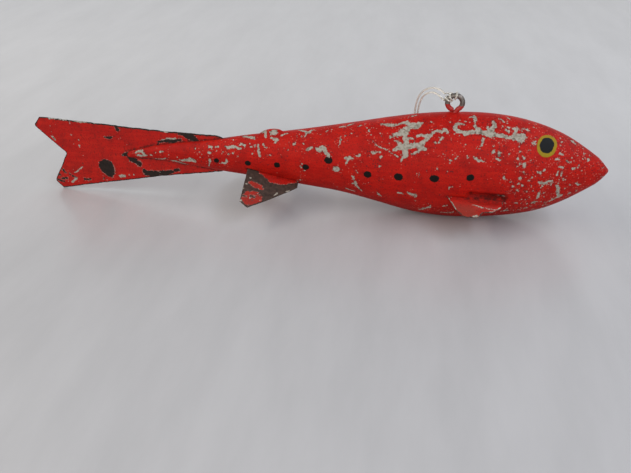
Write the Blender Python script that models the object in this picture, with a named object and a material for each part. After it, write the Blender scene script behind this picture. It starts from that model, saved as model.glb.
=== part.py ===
"""A carved wooden fish decoy with sheet-metal fins, a screw eye in its back and a loop of clear line.

The fish stands upright on a small flat under its belly and on the lower tip of its tail.
X runs along the fish with the head at +X, its right side faces -Y, and +Z is up.
The origin is on the standing surface, under the middle of the fish.
"""

import math

import bmesh
import bpy
import numpy as np
from mathutils import Vector

MM = 0.001

# Carved body: for each station along X, its top and bottom heights and its half width.
BODY_STATIONS_MM = (
    # x, top, bottom, half width
    (-76.0, 18.6, 16.0, 1.6),
    (-66.0, 21.4, 16.1, 2.1),
    (-56.0, 23.4, 15.1, 3.0),
    (-46.0, 24.8, 13.9, 3.9),
    (-36.0, 26.3, 12.8, 4.9),
    (-25.0, 28.3, 11.7, 6.2),
    (-12.0, 30.4, 10.2, 7.6),
    (0.0, 32.5, 9.0, 9.1),
    (14.0, 35.1, 7.2, 11.0),
    (28.0, 37.9, 4.1, 13.0),
    (42.0, 40.3, 0.9, 14.0),
    (56.0, 41.7, -0.4, 14.2),
    (68.0, 41.9, 0.2, 14.0),
    (80.0, 40.5, 1.9, 13.2),
    (90.0, 37.8, 4.6, 11.6),
    (99.0, 33.9, 8.9, 8.9),
    (106.0, 29.6, 13.4, 6.2),
    (111.0, 26.2, 17.2, 4.2),
    (114.5, 23.8, 20.0, 2.6),
)
BODY_RING_STEP = 3.4 * MM
BODY_SIDES = 40
NOSE_ROUND = 5.0 * MM
REAR_ROUND = 2.0 * MM
# Rings inside the two rounded ends, as shares of the end's radius from the tip.
NOSE_RING_SHARES = np.array([0.7, 0.45, 0.25, 0.1, 0.02])
REAR_RING_SHARES = np.array([0.04, 0.2, 0.5])
# The box below the standing surface, which trims the belly flat.
BELOW_LOW = Vector((-20.0, -50.0, -20.0)) * MM
BELOW_HIGH = Vector((130.0, 50.0, 0.0)) * MM

# Low stub carved on the back: its middle, half sizes and lean towards the head.
STUB_MIDDLE = Vector((-15.0, 0.0, 29.3)) * MM
STUB_HALF = Vector((5.0, 1.7, 2.3)) * MM
STUB_LEAN = math.radians(-9.0)
STUB_SEGMENTS = 28

# Sheet metal, and the play that every touching pair keeps.
SHEET = 0.6 * MM
PLAY = 0.3 * MM
TANG_DEPTH = 4.0 * MM
SLOT_MOUTH = 3.0 * MM
# The most of a side that the rounding of one corner may take, and how near points are made one.
CORNER_SHARE = 0.48
WELD = 0.001 * MM

# Forked tail, flat in the middle plane: x, z and corner radius, from its front end round the upper lobe.
TAIL_OUTLINE_MM = (
    (-31.0, 24.5, 0.8),
    (-36.5, 27.6, 2.5),
    (-60.0, 28.4, 20.0),
    (-111.8, 31.8, 1.2),
    (-114.9, 28.2, 1.0),
    (-102.6, 16.3, 1.5),
    (-110.1, 3.4, 1.0),
    (-107.0, 0.0, 0.6),
    (-60.0, 8.6, 30.0),
    (-36.5, 11.9, 2.5),
    (-31.0, 14.5, 0.8),
)
TAIL_SLOT_FRONT = -30.7 * MM
TAIL_SLOT_REAR = -90.0 * MM
TAIL_SLOT_TOP = 50.0 * MM

# Pectoral and pelvic fins: where the root starts and ends on the right flank, how far the sheet
# splays from upright, and its outline as (distance along the root, reach from the root, corner radius).
PECTORAL_ROOT = (Vector((54.8, -12.7, 13.4)) * MM, Vector((76.2, -12.1, 12.8)) * MM)
PECTORAL_SPLAY = math.radians(65.0)
PECTORAL_OUTLINE_MM = (
    (0.0, 0.0, 0.4),
    (3.2, 6.3, 3.0),
    (6.4, 9.9, 2.0),
    (11.4, 9.5, 1.0),
    (13.1, 6.9, 0.8),
    (16.4, 6.6, 2.0),
    (20.2, 4.1, 1.2),
    (21.3, 0.0, 0.4),
)
PELVIC_ROOT = (Vector((-24.1, -5.5, 16.1)) * MM, Vector((-3.6, -5.4, 12.1)) * MM)
PELVIC_SPLAY = math.radians(65.0)
PELVIC_OUTLINE_MM = (
    (0.0, 0.0, 0.3),
    (1.3, 16.4, 0.8),
    (4.8, 18.6, 0.8),
    (21.3, 3.3, 0.6),
    (20.9, 0.0, 0.3),
)
FIN_TANG_INSET = 1.2 * MM
FIN_TANG_CORNER = 0.5 * MM

# Screw eye: a ring of wire in the middle plane on a shank that goes down into the wood.
EYE_CENTRE = Vector((55.0, 0.0, 45.75)) * MM
EYE_RING_RADIUS = 2.75 * MM
EYE_WIRE_RADIUS = 0.95 * MM
EYE_SHANK_LENGTH = 13.0 * MM
EYE_RING_START = math.radians(-60.0)
EYE_RING_END = math.radians(238.0)
EYE_RING_STEPS = 30
# How far below the ring's centre the shank stops being straight and its lean starts, and where
# between there and the ring the neck has its own points.
EYE_SHANK_TOP = 6.0 * MM
EYE_NECK = 4.3 * MM
EYE_NECK_SHARES = (0.3, 0.65)
EYE_BEVEL_RESOLUTION = 3
BORE_SIDES = 24

# Clear line: its thickness, the turns of the hitch round the ring's wire, and the loop's route.
LINE_RADIUS = 0.35 * MM
LINE_BEVEL_RESOLUTION = 2
HITCH_START = math.radians(174.0)
HITCH_END = math.radians(72.0)
HITCH_TURNS = 2.5
HITCH_STEPS_PER_TURN = 12
LOOP_ROUTE_MM = (
    (51.0, -0.1, 49.1),
    (48.9, 0.5, 50.4),
    (46.4, 1.4, 50.6),
    (44.1, 2.7, 49.5),
    (42.5, 4.3, 47.6),
    (41.4, 6.2, 44.9),
    (40.8, 8.4, 41.2),
    (40.5, 11.0, 36.0),
    (40.2, 13.7, 29.0),
    (39.8, 15.2, 21.0),
    (39.0, 16.0, 13.0),
    (37.8, 17.2, 6.2),
    (36.3, 19.6, 1.9),
    (35.6, 23.2, 0.6),
    (37.0, 27.4, 0.45),
    (41.0, 29.6, 0.45),
    (45.2, 27.9, 0.45),
    (47.0, 23.8, 0.6),
    (46.2, 20.0, 1.8),
    (44.6, 17.6, 6.0),
    (43.2, 16.2, 13.0),
    (42.2, 15.4, 21.0),
    (41.7, 13.9, 29.0),
    (41.6, 11.2, 35.6),
    (41.9, 8.6, 40.4),
    (42.4, 6.4, 43.7),
    (43.2, 4.6, 46.1),
    (44.5, 3.0, 47.8),
    (46.5, 1.9, 48.7),
    (48.6, 1.0, 48.2),
    (50.0, 0.5, 47.0),
)
LOOP_POINT_SPACING = 2.0 * MM
ROUTE_STEPS = 24

COLOURS = {
    "red_paint_on_wood": (0.42, 0.03, 0.02, 0.0, 0.45),
    "painted_sheet_metal": (0.30, 0.03, 0.02, 0.2, 0.50),
    "dark_steel_wire": (0.10, 0.09, 0.08, 1.0, 0.40),
    "clear_line": (0.80, 0.80, 0.76, 0.0, 0.20),
}


def clear_scene():
    for old in list(bpy.data.objects):
        bpy.data.objects.remove(old, do_unlink=True)


def new_collection(name):
    collection = bpy.data.collections.new(name)
    bpy.context.scene.collection.children.link(collection)
    return collection


def new_material(name):
    red, green, blue, metallic, roughness = COLOURS[name]
    material = bpy.data.materials.new(name)
    material.use_nodes = True
    shader = material.node_tree.nodes["Principled BSDF"]
    shader.inputs["Base Color"].default_value = (red, green, blue, 1.0)
    shader.inputs["Metallic"].default_value = metallic
    shader.inputs["Roughness"].default_value = roughness
    material.diffuse_color = (red, green, blue, 1.0)
    return material


def object_from_bmesh(name, mesh, collection):
    bmesh.ops.recalc_face_normals(mesh, faces=mesh.faces[:])
    data = bpy.data.meshes.new(name)
    mesh.to_mesh(data)
    mesh.free()
    obj = bpy.data.objects.new(name, data)
    collection.objects.link(obj)
    return obj


def as_cutter(obj):
    obj.hide_render = True
    obj.display_type = "WIRE"
    return obj


def add_boolean(target, other, operation):
    modifier = target.modifiers.new(f"{operation.lower()} {other.name}", "BOOLEAN")
    modifier.operation = operation
    modifier.solver = "EXACT"
    modifier.object = other


def make_smooth(obj, angle_degrees=40.0):
    obj.data.shade_smooth()
    obj.data.set_sharp_from_angle(angle=math.radians(angle_degrees))


def through_stations(stations, column, x):
    """A smooth curve through one column of the station table: a cubic between each two stations."""
    places = stations[:, 0]
    values = stations[:, column]
    slopes = np.gradient(values, places)
    index = np.clip(np.searchsorted(places, x) - 1, 0, len(places) - 2)
    span = places[index + 1] - places[index]
    t = (x - places[index]) / span
    start = values[index] * (2 * t**3 - 3 * t**2 + 1) + slopes[index] * span * (t**3 - 2 * t**2 + t)
    end = values[index + 1] * (3 * t**2 - 2 * t**3) + slopes[index + 1] * span * (t**3 - t**2)
    return start + end


def end_rounding(distance, radius):
    """How much of a section is left this far from a rounded end: a quarter ellipse."""
    inside = np.clip(1.0 - distance / radius, 0.0, 1.0)
    return np.sqrt(1.0 - inside**2)


def body_ring_places(rear, nose):
    """X of each ring: even steps along the body, closing up towards both rounded ends."""
    rear_places = rear + REAR_ROUND * REAR_RING_SHARES
    nose_places = nose - NOSE_ROUND * NOSE_RING_SHARES
    steps = round((nose - NOSE_ROUND - rear - REAR_ROUND) / BODY_RING_STEP)
    middle_places = np.linspace(rear + REAR_ROUND, nose - NOSE_ROUND, steps + 1)
    return np.concatenate([rear_places, middle_places, nose_places])


def make_body(collection):
    """Elliptical sections lofted along the fish, each as tall and wide as the station curves say."""
    stations = np.array(BODY_STATIONS_MM) * MM
    rear = stations[0, 0]
    nose = stations[-1, 0]
    places = body_ring_places(rear, nose)
    top = through_stations(stations, 1, places)
    bottom = through_stations(stations, 2, places)
    left = end_rounding(places - rear, REAR_ROUND) * end_rounding(nose - places, NOSE_ROUND)
    middle = (top + bottom) / 2
    half_height = (top - bottom) / 2 * left
    half_width = through_stations(stations, 3, places) * left
    mesh = bmesh.new()
    rings = []
    for x, z, height, width in zip(places, middle, half_height, half_width):
        ring = []
        for side in range(BODY_SIDES):
            turn = 2 * math.pi * side / BODY_SIDES
            ring.append(mesh.verts.new((x, width * math.cos(turn), z + height * math.sin(turn))))
        rings.append(ring)
    for near, far in zip(rings, rings[1:]):
        for side in range(BODY_SIDES):
            after = (side + 1) % BODY_SIDES
            mesh.faces.new((near[side], near[after], far[after], far[side]))
    for ring, x, z in ((rings[0], rear, middle[0]), (rings[-1], nose, middle[-1])):
        tip = mesh.verts.new((x, 0.0, z))
        for side in range(BODY_SIDES):
            mesh.faces.new((ring[side], ring[(side + 1) % BODY_SIDES], tip))
    body = object_from_bmesh("body", mesh, collection)
    make_smooth(body)
    return body


def make_stub(collection):
    """The low stub on the back: a stretched ball, mostly sunk in the wood."""
    mesh = bmesh.new()
    bmesh.ops.create_uvsphere(mesh, u_segments=STUB_SEGMENTS, v_segments=STUB_SEGMENTS // 2, radius=1.0)
    bmesh.ops.scale(mesh, vec=STUB_HALF, verts=mesh.verts[:])
    stub = object_from_bmesh("stub", mesh, collection)
    stub.location = STUB_MIDDLE
    stub.rotation_euler = (0.0, STUB_LEAN, 0.0)
    return as_cutter(stub)


def make_box(name, low, high, collection):
    mesh = bmesh.new()
    bmesh.ops.create_cube(mesh, size=1.0)
    low = Vector(low)
    high = Vector(high)
    bmesh.ops.scale(mesh, vec=high - low, verts=mesh.verts[:])
    bmesh.ops.translate(mesh, vec=(low + high) / 2, verts=mesh.verts[:])
    return as_cutter(object_from_bmesh(name, mesh, collection))


def rounded_outline(corners, steps=5):
    """A closed outline with each corner replaced by an arc of its own radius."""
    points = []
    count = len(corners)
    for index in range(count):
        here = Vector(corners[index][:2])
        to_last = Vector(corners[index - 1][:2]) - here
        to_next = Vector(corners[(index + 1) % count][:2]) - here
        half_angle = to_last.angle(to_next) / 2
        reach = corners[index][2] / math.tan(half_angle)
        reach = min(reach, to_last.length * CORNER_SHARE, to_next.length * CORNER_SHARE)
        first = here + to_last.normalized() * reach
        last = here + to_next.normalized() * reach
        for step in range(steps + 1):
            t = step / steps
            # A quadratic arc, which leaves each side along the side itself.
            points.append(first * (1 - t) ** 2 + here * 2 * t * (1 - t) + last * t**2)
    return points


def make_sheet(name, points, thickness, collection):
    """A flat outline cut from sheet: a filled 2D curve, extruded by half the thickness each way."""
    curve = bpy.data.curves.new(name, "CURVE")
    curve.dimensions = "2D"
    curve.fill_mode = "BOTH"
    curve.extrude = thickness / 2
    spline = curve.splines.new("POLY")
    spline.points.add(len(points) - 1)
    for place, point in zip(spline.points, points):
        place.co = (point.x, point.y, 0.0, 1.0)
    spline.use_cyclic_u = True
    guide = bpy.data.objects.new(name + " outline", curve)
    collection.objects.link(guide)
    return mesh_from_curve(name, guide, collection)


def mesh_from_curve(name, guide, collection):
    """A curve object made into one closed mesh, with its caps welded to its sides."""
    bpy.context.view_layer.update()
    graph = bpy.context.evaluated_depsgraph_get()
    data = bpy.data.meshes.new_from_object(guide.evaluated_get(graph))
    mesh = bmesh.new()
    mesh.from_mesh(data)
    bmesh.ops.remove_doubles(mesh, verts=mesh.verts[:], dist=WELD)
    bmesh.ops.recalc_face_normals(mesh, faces=mesh.faces[:])
    mesh.to_mesh(data)
    mesh.free()
    data.name = name
    obj = bpy.data.objects.new(name, data)
    obj.matrix_world = guide.matrix_world.copy()
    collection.objects.link(obj)
    bpy.data.objects.remove(guide, do_unlink=True)
    return obj


def place_in_plane(obj, origin, along, down):
    """Turns a flat piece so that its own X runs along one direction and its own Y along the other."""
    along = along.normalized()
    down = (down - along * down.dot(along)).normalized()
    across = along.cross(down)
    rotation = obj.matrix_world.to_3x3()
    rotation.col[0] = along
    rotation.col[1] = down
    rotation.col[2] = across
    obj.matrix_world = rotation.to_4x4()
    obj.location = origin
    obj.rotation_euler = rotation.to_euler()


def make_tail(collection):
    corners = [(x * MM, z * MM, radius * MM) for x, z, radius in TAIL_OUTLINE_MM]
    tail = make_sheet("tail_fin", rounded_outline(corners), SHEET, collection)
    place_in_plane(tail, Vector((0.0, 0.0, 0.0)), Vector((1.0, 0.0, 0.0)), Vector((0.0, 0.0, 1.0)))
    return tail


def make_fin_pair(kind, root, splay, outline_mm, body, parts, cutters):
    """A right fin in its saw cut, and its mirror image on the left."""
    for side, sign in (("right", 1.0), ("left", -1.0)):
        start = Vector((root[0].x, root[0].y * sign, root[0].z))
        end = Vector((root[1].x, root[1].y * sign, root[1].z))
        along = end - start
        down = Vector((0.0, -math.sin(splay) * sign, -math.cos(splay)))
        corners = [(x * MM, y * MM, radius * MM) for x, y, radius in outline_mm]
        root_length = along.length
        tang = [
            (root_length - FIN_TANG_INSET, -TANG_DEPTH, FIN_TANG_CORNER),
            (FIN_TANG_INSET, -TANG_DEPTH, FIN_TANG_CORNER),
        ]
        fin = make_sheet(f"{kind}_fin_{side}", rounded_outline(corners + tang), SHEET, parts)
        place_in_plane(fin, start, along, down)
        slot = make_box(
            f"{kind} slot {side}",
            (-PLAY, -TANG_DEPTH - PLAY, -SHEET / 2 - PLAY),
            (root_length + PLAY, SLOT_MOUTH, SHEET / 2 + PLAY),
            cutters,
        )
        place_in_plane(slot, start, along, down)
        add_boolean(body, slot, "DIFFERENCE")
        fin.data.materials.append(bpy.data.materials["painted_sheet_metal"])


def make_tube(name, points, radius, resolution, collection):
    """A round wire or line: a poly curve with a bevel and filled ends."""
    curve = bpy.data.curves.new(name, "CURVE")
    curve.dimensions = "3D"
    curve.bevel_depth = radius
    curve.bevel_resolution = resolution
    curve.use_fill_caps = True
    spline = curve.splines.new("POLY")
    spline.points.add(len(points) - 1)
    for place, point in zip(spline.points, points):
        place.co = (point[0], point[1], point[2], 1.0)
    guide = bpy.data.objects.new(name + " path", curve)
    collection.objects.link(guide)
    tube = mesh_from_curve(name, guide, collection)
    make_smooth(tube)
    return tube


def make_screw_eye(collection):
    """The shank comes up from the wood, leans over and runs round into the ring, almost back to itself."""
    radius = EYE_RING_RADIUS
    ring_start = Vector((math.cos(EYE_RING_START), 0.0, math.sin(EYE_RING_START))) * radius
    neck = Vector((0.0, 0.0, -EYE_NECK))
    points = [
        Vector((0.0, 0.0, -radius - EYE_SHANK_LENGTH)),
        Vector((0.0, 0.0, -EYE_SHANK_TOP)),
        neck,
    ]
    points.extend(neck.lerp(ring_start, share) for share in EYE_NECK_SHARES)
    for step in range(EYE_RING_STEPS + 1):
        turn = EYE_RING_START + (EYE_RING_END - EYE_RING_START) * step / EYE_RING_STEPS
        points.append(Vector((math.cos(turn), 0.0, math.sin(turn))) * radius)
    route = [EYE_CENTRE + point for point in points]
    return make_tube("screw_eye", route, EYE_WIRE_RADIUS, EYE_BEVEL_RESOLUTION, collection)


def make_shank_bore(collection):
    mesh = bmesh.new()
    bmesh.ops.create_cone(
        mesh,
        cap_ends=True,
        segments=BORE_SIDES,
        radius1=EYE_WIRE_RADIUS + PLAY,
        radius2=EYE_WIRE_RADIUS + PLAY,
        depth=EYE_SHANK_LENGTH + 2 * PLAY,
    )
    bore = as_cutter(object_from_bmesh("shank bore", mesh, collection))
    bore.location = EYE_CENTRE - Vector((0.0, 0.0, EYE_RING_RADIUS + EYE_SHANK_LENGTH / 2))
    return bore


def hitch_points():
    """Turns of line round the ring's wire, as it goes from the ring's back to its top."""
    wrap_radius = EYE_WIRE_RADIUS + PLAY + LINE_RADIUS
    count = round(HITCH_TURNS * HITCH_STEPS_PER_TURN)
    sideways = Vector((0.0, 1.0, 0.0))
    points = []
    for step in range(count + 1):
        t = step / count
        round_ring = HITCH_START + (HITCH_END - HITCH_START) * t
        round_wire = 2 * math.pi * HITCH_TURNS * t - math.pi / 2
        out = Vector((math.cos(round_ring), 0.0, math.sin(round_ring)))
        centre = EYE_CENTRE + out * EYE_RING_RADIUS
        points.append(centre + (out * math.cos(round_wire) + sideways * math.sin(round_wire)) * wrap_radius)
    return points


def smooth_route(route_mm, spacing):
    """Points an even distance apart on a smooth curve (Catmull-Rom) through the route's own points."""
    route = np.array(route_mm) * MM
    padded = np.vstack([2 * route[0] - route[1], route, 2 * route[-1] - route[-2]])
    t = np.linspace(0.0, 1.0, ROUTE_STEPS, endpoint=False)[:, None]
    pieces = []
    for index in range(len(route) - 1):
        a, b, c, d = padded[index : index + 4]
        pieces.append(
            0.5 * (2 * b + (c - a) * t + (2 * a - 5 * b + 4 * c - d) * t**2 + (3 * b - a - 3 * c + d) * t**3)
        )
    fine = np.vstack(pieces + [route[-1:]])
    lengths = np.concatenate([[0.0], np.cumsum(np.linalg.norm(np.diff(fine, axis=0), axis=1))])
    even = np.linspace(0.0, lengths[-1], round(lengths[-1] / spacing) + 1)
    return np.stack([np.interp(even, lengths, fine[:, axis]) for axis in range(3)], axis=1)


def main():
    clear_scene()
    parts = new_collection("fish_decoy")
    cutters = new_collection("cutters")
    for name in COLOURS:
        new_material(name)

    body = make_body(parts)
    body.data.materials.append(bpy.data.materials["red_paint_on_wood"])
    add_boolean(body, make_stub(cutters), "UNION")
    below = make_box("under the belly", BELOW_LOW, BELOW_HIGH, cutters)
    add_boolean(body, below, "DIFFERENCE")
    half_slot = SHEET / 2 + PLAY
    slot_low = (TAIL_SLOT_REAR, -half_slot, 0.0)
    slot_high = (TAIL_SLOT_FRONT, half_slot, TAIL_SLOT_TOP)
    tail_slot = make_box("tail slot", slot_low, slot_high, cutters)
    add_boolean(body, tail_slot, "DIFFERENCE")
    add_boolean(body, make_shank_bore(cutters), "DIFFERENCE")

    tail = make_tail(parts)
    tail.data.materials.append(bpy.data.materials["painted_sheet_metal"])
    fins = (
        ("pectoral", PECTORAL_ROOT, PECTORAL_SPLAY, PECTORAL_OUTLINE_MM),
        ("pelvic", PELVIC_ROOT, PELVIC_SPLAY, PELVIC_OUTLINE_MM),
    )
    for kind, root, splay, outline_mm in fins:
        make_fin_pair(kind, root, splay, outline_mm, body, parts, cutters)

    eye = make_screw_eye(parts)
    eye.data.materials.append(bpy.data.materials["dark_steel_wire"])
    routes = (
        ("line_hitch", hitch_points()),
        ("line_loop", smooth_route(LOOP_ROUTE_MM, LOOP_POINT_SPACING)),
    )
    for name, route in routes:
        line = make_tube(name, route, LINE_RADIUS, LINE_BEVEL_RESOLUTION, parts)
        line.data.materials.append(bpy.data.materials["clear_line"])


main()
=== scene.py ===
# %% [markdown]
# # A carved fish decoy
#
# This lesson dresses a small ice-fishing decoy: a carved wooden fish, about 23 cm long, brushed with red
# enamel over pale grey primer and knocked about for years, so that chips of primer, dark scuffs and bare
# metal show. Its tail and fins are cut from thin sheet iron, a bent wire eye is screwed into its back, and
# a loop of clear nylon line hangs from the eye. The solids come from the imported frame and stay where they
# are. Each one gets a finer skin here, made with numpy in the same place.

# %% Load the frame
import itertools
import math

import bpy
import numpy as np
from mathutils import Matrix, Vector


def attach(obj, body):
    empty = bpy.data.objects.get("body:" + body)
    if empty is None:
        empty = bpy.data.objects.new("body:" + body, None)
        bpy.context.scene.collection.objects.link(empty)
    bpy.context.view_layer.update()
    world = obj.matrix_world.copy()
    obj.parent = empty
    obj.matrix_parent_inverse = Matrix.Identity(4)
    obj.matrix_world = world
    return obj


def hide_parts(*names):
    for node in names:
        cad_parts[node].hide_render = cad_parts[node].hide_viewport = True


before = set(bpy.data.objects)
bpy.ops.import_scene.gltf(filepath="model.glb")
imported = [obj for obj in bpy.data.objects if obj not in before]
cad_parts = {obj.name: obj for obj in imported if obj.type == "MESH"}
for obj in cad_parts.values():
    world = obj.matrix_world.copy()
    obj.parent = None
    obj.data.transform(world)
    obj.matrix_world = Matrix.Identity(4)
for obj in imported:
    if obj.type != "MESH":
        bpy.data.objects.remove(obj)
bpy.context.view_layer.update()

MM = 0.001
print("solids:", sorted(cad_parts))

# %% [markdown]
# ## The camera
#
# The fish was seen from its right side, a little from above and from the head's side, at a quarter of a
# metre. A camera could be set by eye, but then nothing else could be compared with confidence. These
# numbers were fitted instead: the place, the aim and the focal length that put the fish's own outline
# where the picture has it. The focal length is in pixels of a picture 631 pixels wide, and the sensor
# width turns it into millimetres.

# %% Set up the camera
CAMERA_PLACE = Vector((38.15, -251.27, 131.11)) * MM
CAMERA_AIM = Vector((6.53, -27.15, 0.0)) * MM
PICTURE_WIDTH = 631
FOCAL_PIXELS = 689.9
SENSOR_WIDTH = 36.0
CAMERA_NEAREST = 10 * MM


def make_camera():
    """A camera at CAMERA_PLACE that looks at CAMERA_AIM with its own up as near to +Z as it can be."""
    data = bpy.data.cameras.new("camera")
    data.sensor_width = SENSOR_WIDTH
    data.lens = FOCAL_PIXELS * SENSOR_WIDTH / PICTURE_WIDTH
    data.clip_start = CAMERA_NEAREST
    camera = bpy.data.objects.new("camera", data)
    bpy.context.scene.collection.objects.link(camera)
    camera.location = CAMERA_PLACE
    camera.rotation_euler = (CAMERA_AIM - CAMERA_PLACE).to_track_quat("-Z", "Y").to_euler()
    bpy.context.scene.camera = camera
    return camera


camera = make_camera()
print("focal length:", round(camera.data.lens, 2), "mm")

# %% [markdown]
# ## Meshes from arrays
#
# Every piece below is a surface worked out on a grid: all the points at once, as one array, and the faces
# from their numbers alone. Blender can also be asked for primitives and modifiers, but a grid keeps a
# measure at every point, such as the distance to the nearest chip, and the paint can then be worn exactly
# there.


# %% Make a mesh from arrays
def facing_out(points, quads, triangles):
    """The faces as they are, or reversed: six times the volume is the sum of a . (b x c) over triangles."""
    halves = [triangles, quads[:, [0, 1, 2]], quads[:, [0, 2, 3]]]
    corners = points[np.concatenate(halves)]
    volume = np.einsum("ij,ij->i", corners[:, 0], np.cross(corners[:, 1], corners[:, 2])).sum()
    return (quads, triangles) if volume > 0 else (quads[:, ::-1], triangles[:, ::-1])


def new_piece(name, points, quads, triangles=None, closed=True):
    """A smooth-shaded object at the origin, from points in metres, quads and perhaps triangles."""
    quads = np.asarray(quads, np.int32).reshape(-1, 4)
    triangles = np.zeros((0, 3), np.int32) if triangles is None else np.asarray(triangles, np.int32)
    if closed:
        quads, triangles = facing_out(points, quads, triangles)
    mesh = bpy.data.meshes.new(name)
    corners = np.concatenate([quads.ravel(), triangles.ravel()]).astype(np.int32)
    starts = np.concatenate([np.arange(len(quads)) * 4, quads.size + np.arange(len(triangles)) * 3])
    mesh.vertices.add(len(points))
    mesh.vertices.foreach_set("co", np.asarray(points, np.float32).ravel())
    mesh.loops.add(len(corners))
    mesh.loops.foreach_set("vertex_index", corners)
    mesh.polygons.add(len(starts))
    mesh.polygons.foreach_set("loop_start", starts.astype(np.int32))
    mesh.update(calc_edges=True)
    mesh.validate()
    mesh.shade_smooth()
    piece = bpy.data.objects.new(name, mesh)
    bpy.context.scene.collection.objects.link(piece)
    print(name, "-", len(points), "points,", len(quads) * 2 + len(triangles), "triangles")
    return piece


def add_measure(piece, name, values):
    """Stores one number or one vector for each point of a piece, for its material to read."""
    values = np.asarray(values, np.float32)
    kind = "FLOAT_VECTOR" if values.ndim == 2 else "FLOAT"
    attribute = piece.data.attributes.new(name, kind, "POINT")
    attribute.data.foreach_set("vector" if values.ndim == 2 else "value", values.ravel())


def ring_quads(rings, sides):
    """The quads between neighbouring rings, where ring r holds the points r * sides to r * sides + sides - 1."""
    first = np.arange(rings - 1)[:, None] * sides + np.arange(sides)
    after = np.arange(rings - 1)[:, None] * sides + (np.arange(sides) + 1) % sides
    return np.stack([first, after, after + sides, first + sides], axis=-1).reshape(-1, 4)


def end_fans(rings, sides, first_pole, last_pole):
    """Triangles that close the first and the last ring to a pole each."""
    here = np.arange(sides)
    after = (here + 1) % sides
    last = (rings - 1) * sides
    first_fan = np.stack([after, here, np.full(sides, first_pole)], axis=-1)
    last_fan = np.stack([last + here, last + after, np.full(sides, last_pole)], axis=-1)
    return np.concatenate([first_fan, last_fan])


# %% [markdown]
# Wear is never even. Value noise gives that unevenness: random numbers on a lattice, blended smoothly
# between neighbours. A few sizes of it added together look like brushwork, dents or ragged edges. The
# random numbers are seeded, so that each run gives the same fish.

# %% Noise on arrays
LATTICE = 32


def value_noise(points, size, seed):
    """Noise from -1 to 1 at points (n, 3): the eight lattice values round each, mixed by 3t^2 - 2t^3."""
    lattice = np.random.default_rng(seed).uniform(-1.0, 1.0, (LATTICE, LATTICE, LATTICE))
    place = points / size
    cell = np.floor(place).astype(int)
    share = place - cell
    share = share**2 * (3 - 2 * share)
    total = np.zeros(len(points))
    for corner in itertools.product((0, 1), repeat=3):
        weight = np.prod(np.where(corner, share, 1 - share), axis=1)
        index = (cell + np.array(corner)) % LATTICE
        total += weight * lattice[index[:, 0], index[:, 1], index[:, 2]]
    return total


def layered_noise(points, size, seed, layers=3):
    """Value noise at several sizes, each half the size and half the strength of the last."""
    strengths = 0.5 ** np.arange(layers)
    sizes = size * strengths
    noises = [value_noise(points, part, seed + index) for index, part in enumerate(sizes)]
    return np.tensordot(strengths, noises, axes=1) / strengths.sum()


def smoothstep(low, high, values):
    t = np.clip((values - low) / (high - low), 0.0, 1.0)
    return t * t * (3 - 2 * t)


# %% [markdown]
# ## Helpers for materials
#
# Colours are written as sRGB hex, as a colour picker gives them, and one function turns them into the
# linear numbers that the shader wants. One more function adds a node, sets it up and links it.


# %% Colour and node helpers
def linear(hex_colour):
    """A linear RGBA colour: c / 12.92 for dark values, and ((c + 0.055) / 1.055) ^ 2.4 for the rest."""
    values = np.array([int(hex_colour[i : i + 2], 16) for i in (1, 3, 5)]) / 255
    values = np.where(values <= 0.04045, values / 12.92, ((values + 0.055) / 1.055) ** 2.4)
    return (*values.tolist(), 1.0)


def add_node(tree, kind, inputs=None, **settings):
    """Adds a node and fills its sockets: a node or a socket is linked, and the rest are values."""
    node = tree.nodes.new(kind)
    for name, value in settings.items():
        setattr(node, name, value)
    for key, value in (inputs or {}).items():
        if isinstance(key, int):
            socket = node.inputs[key]
        else:
            socket = next(s for s in node.inputs if s.name == key and s.enabled)
        if isinstance(value, bpy.types.Node):
            value = next(s for s in value.outputs if s.enabled)
        if isinstance(value, bpy.types.NodeSocket):
            tree.links.new(value, socket)
        else:
            socket.default_value = value
    return node


def new_material(name):
    """A material with an empty tree but for a Principled shader and its output."""
    material = bpy.data.materials.new(name)
    material.use_nodes = True
    tree = material.node_tree
    tree.nodes.clear()
    shader = add_node(tree, "ShaderNodeBsdfPrincipled")
    add_node(tree, "ShaderNodeOutputMaterial", {"Surface": shader})
    return material, tree, shader


def set_values(shader, **values):
    """Sets constant values on the shader's own sockets, named with _ for a space."""
    for name, value in values.items():
        shader.inputs[name.replace("_", " ")].default_value = value


# %% [markdown]
# ## The clear line
#
# Monofilament is drawn nylon: smooth, clear and springy, so it arches out of the hitch and never lies in
# tight folds. Here it is 0.7 mm thick. The two strands of the loop leave the eye side by side, arch over
# the back, go down behind the fish and turn round on the table. A curve with a bevel would do, but a tube
# swept with numpy can carry its own measures, and the screw eye uses the same function. The route's points
# are those of the solid, and a Catmull-Rom curve runs smoothly through them.

# %% Sweep a tube along a path
LINE_RADIUS = 0.35 * MM
LINE_SIDES = 12
LOOP_ROUTE = MM * np.array([
    (51.0, -0.1, 49.1), (48.9, 0.5, 50.4), (46.4, 1.4, 50.6), (44.1, 2.7, 49.5), (42.5, 4.3, 47.6),
    (41.4, 6.2, 44.9), (40.8, 8.4, 41.2), (40.5, 11.0, 36.0), (40.2, 13.7, 29.0), (39.8, 15.2, 21.0),
    (39.0, 16.0, 13.0), (37.8, 17.2, 6.2), (36.3, 19.6, 1.9), (35.6, 23.2, 0.6), (37.0, 27.4, 0.45),
    (41.0, 29.6, 0.45), (45.2, 27.9, 0.45), (47.0, 23.8, 0.6), (46.2, 20.0, 1.8), (44.6, 17.6, 6.0),
    (43.2, 16.2, 13.0), (42.2, 15.4, 21.0), (41.7, 13.9, 29.0), (41.6, 11.2, 35.6), (41.9, 8.6, 40.4),
    (42.4, 6.4, 43.7), (43.2, 4.6, 46.1), (44.5, 3.0, 47.8), (46.5, 1.9, 48.7), (48.6, 1.0, 48.2),
    (50.0, 0.5, 47.0),
])
ROUTE_STEPS = 24


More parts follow.
